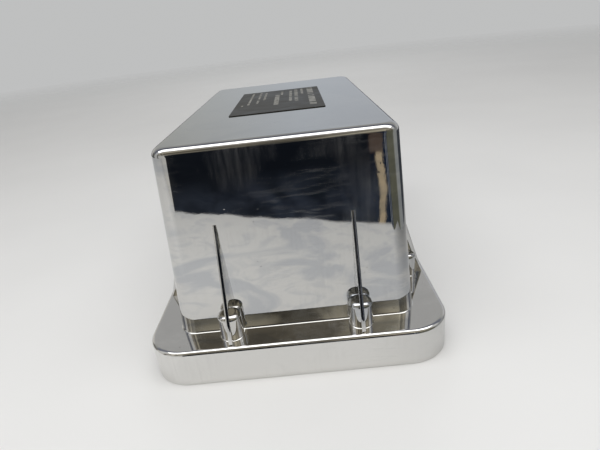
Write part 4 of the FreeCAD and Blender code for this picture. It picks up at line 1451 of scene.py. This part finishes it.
    def striped(
        self, graph: NodeGraph, walls: object, around: object, stripe: Stripe, share: object = 1.0
    ) -> bpy.types.NodeSocket:
        """Lays one upright stripe over the walls.

        Args:
            graph: the room's nodes.
            walls: the walls' colour so far.
            around: the socket that gives degrees from the near side to the right.
            stripe: the stripe's place and tone.
            share: how much of the stripe shows, from 0 to 1.

        Returns:
            The walls' colour with the stripe.
        """
        left = graph.spread(around, stripe.start, stripe.start + self.stripe_edge, 0, 1)
        right = graph.spread(around, stripe.end - self.stripe_edge, stripe.end, 1, 0)
        return graph.mix(graph.times(graph.times(left, right), share), walls, stripe.tone)

    def walls(self) -> list[tuple[float, Colour]]:
        """Lists the walls' colours once around, from the far side by the left and the near side.

        Returns:
            The colours, each with its share of the turn.
        """
        pale = rgb(0.60, 0.59, 0.56)
        dim = rgb(0.008, 0.010, 0.014)
        navy = rgb(0.012, 0.022, 0.045)
        olive = rgb(0.12, 0.12, 0.09)
        far = rgb(0.47, 0.50, 0.54)
        cupboard = rgb(0.16, 0.155, 0.14)
        by_degrees = [
            (-180, far), (-160, rgb(0.40, 0.405, 0.385)), (-140, pale), (-122, pale), (-119, cupboard),
            (-99, cupboard), (-96, pale), (-74, pale), (-72, cupboard), (-66, cupboard), (-64, pale),
            (-20, pale), (-18.2, dim), (9, dim), (10.4, navy), (23, navy), (28, olive), (68, olive),
            (76, rgb(0.30, 0.31, 0.30)), (112, rgb(0.28, 0.29, 0.30)), (122, rgb(0.55, 0.55, 0.55)),
            (160, rgb(0.46, 0.48, 0.52)), (180, far),
        ]
        return [(0.5 + degrees / 360, colour) for degrees, colour in by_degrees]

    def ceiling(self) -> list[tuple[float, Colour]]:
        """Lists the ceiling's colours from the near horizon, overhead, to the far horizon.

        Returns:
            The colours, each with its share of the way over.
        """
        by_degrees = [
            (0, rgb(0.008, 0.010, 0.014)), (20, rgb(0.02, 0.022, 0.024)), (27, rgb(0.07, 0.065, 0.05)),
            (36, rgb(0.135, 0.12, 0.092)), (52, rgb(0.14, 0.125, 0.10)), (66, rgb(0.45, 0.41, 0.35)),
            (70, rgb(0.7, 0.7, 0.7)), (94, rgb(0.6, 0.6, 0.6)), (104, rgb(0.14, 0.15, 0.19)),
            (118, rgb(0.15, 0.16, 0.20)), (130, rgb(0.38, 0.38, 0.37)), (150, rgb(0.42, 0.42, 0.42)),
            (163, rgb(0.46, 0.485, 0.52)), (180, rgb(0.47, 0.50, 0.54)),
        ]
        return [(degrees / 180, colour) for degrees, colour in by_degrees]


def main() -> None:
    """Builds the studio and every sub-assembly."""
    Studio().build()
    Housing().build()
    RatingPlate().build()
    inner_dressing().build()
    bpy.context.view_layer.update()


if __name__ == "__main__":
    main()
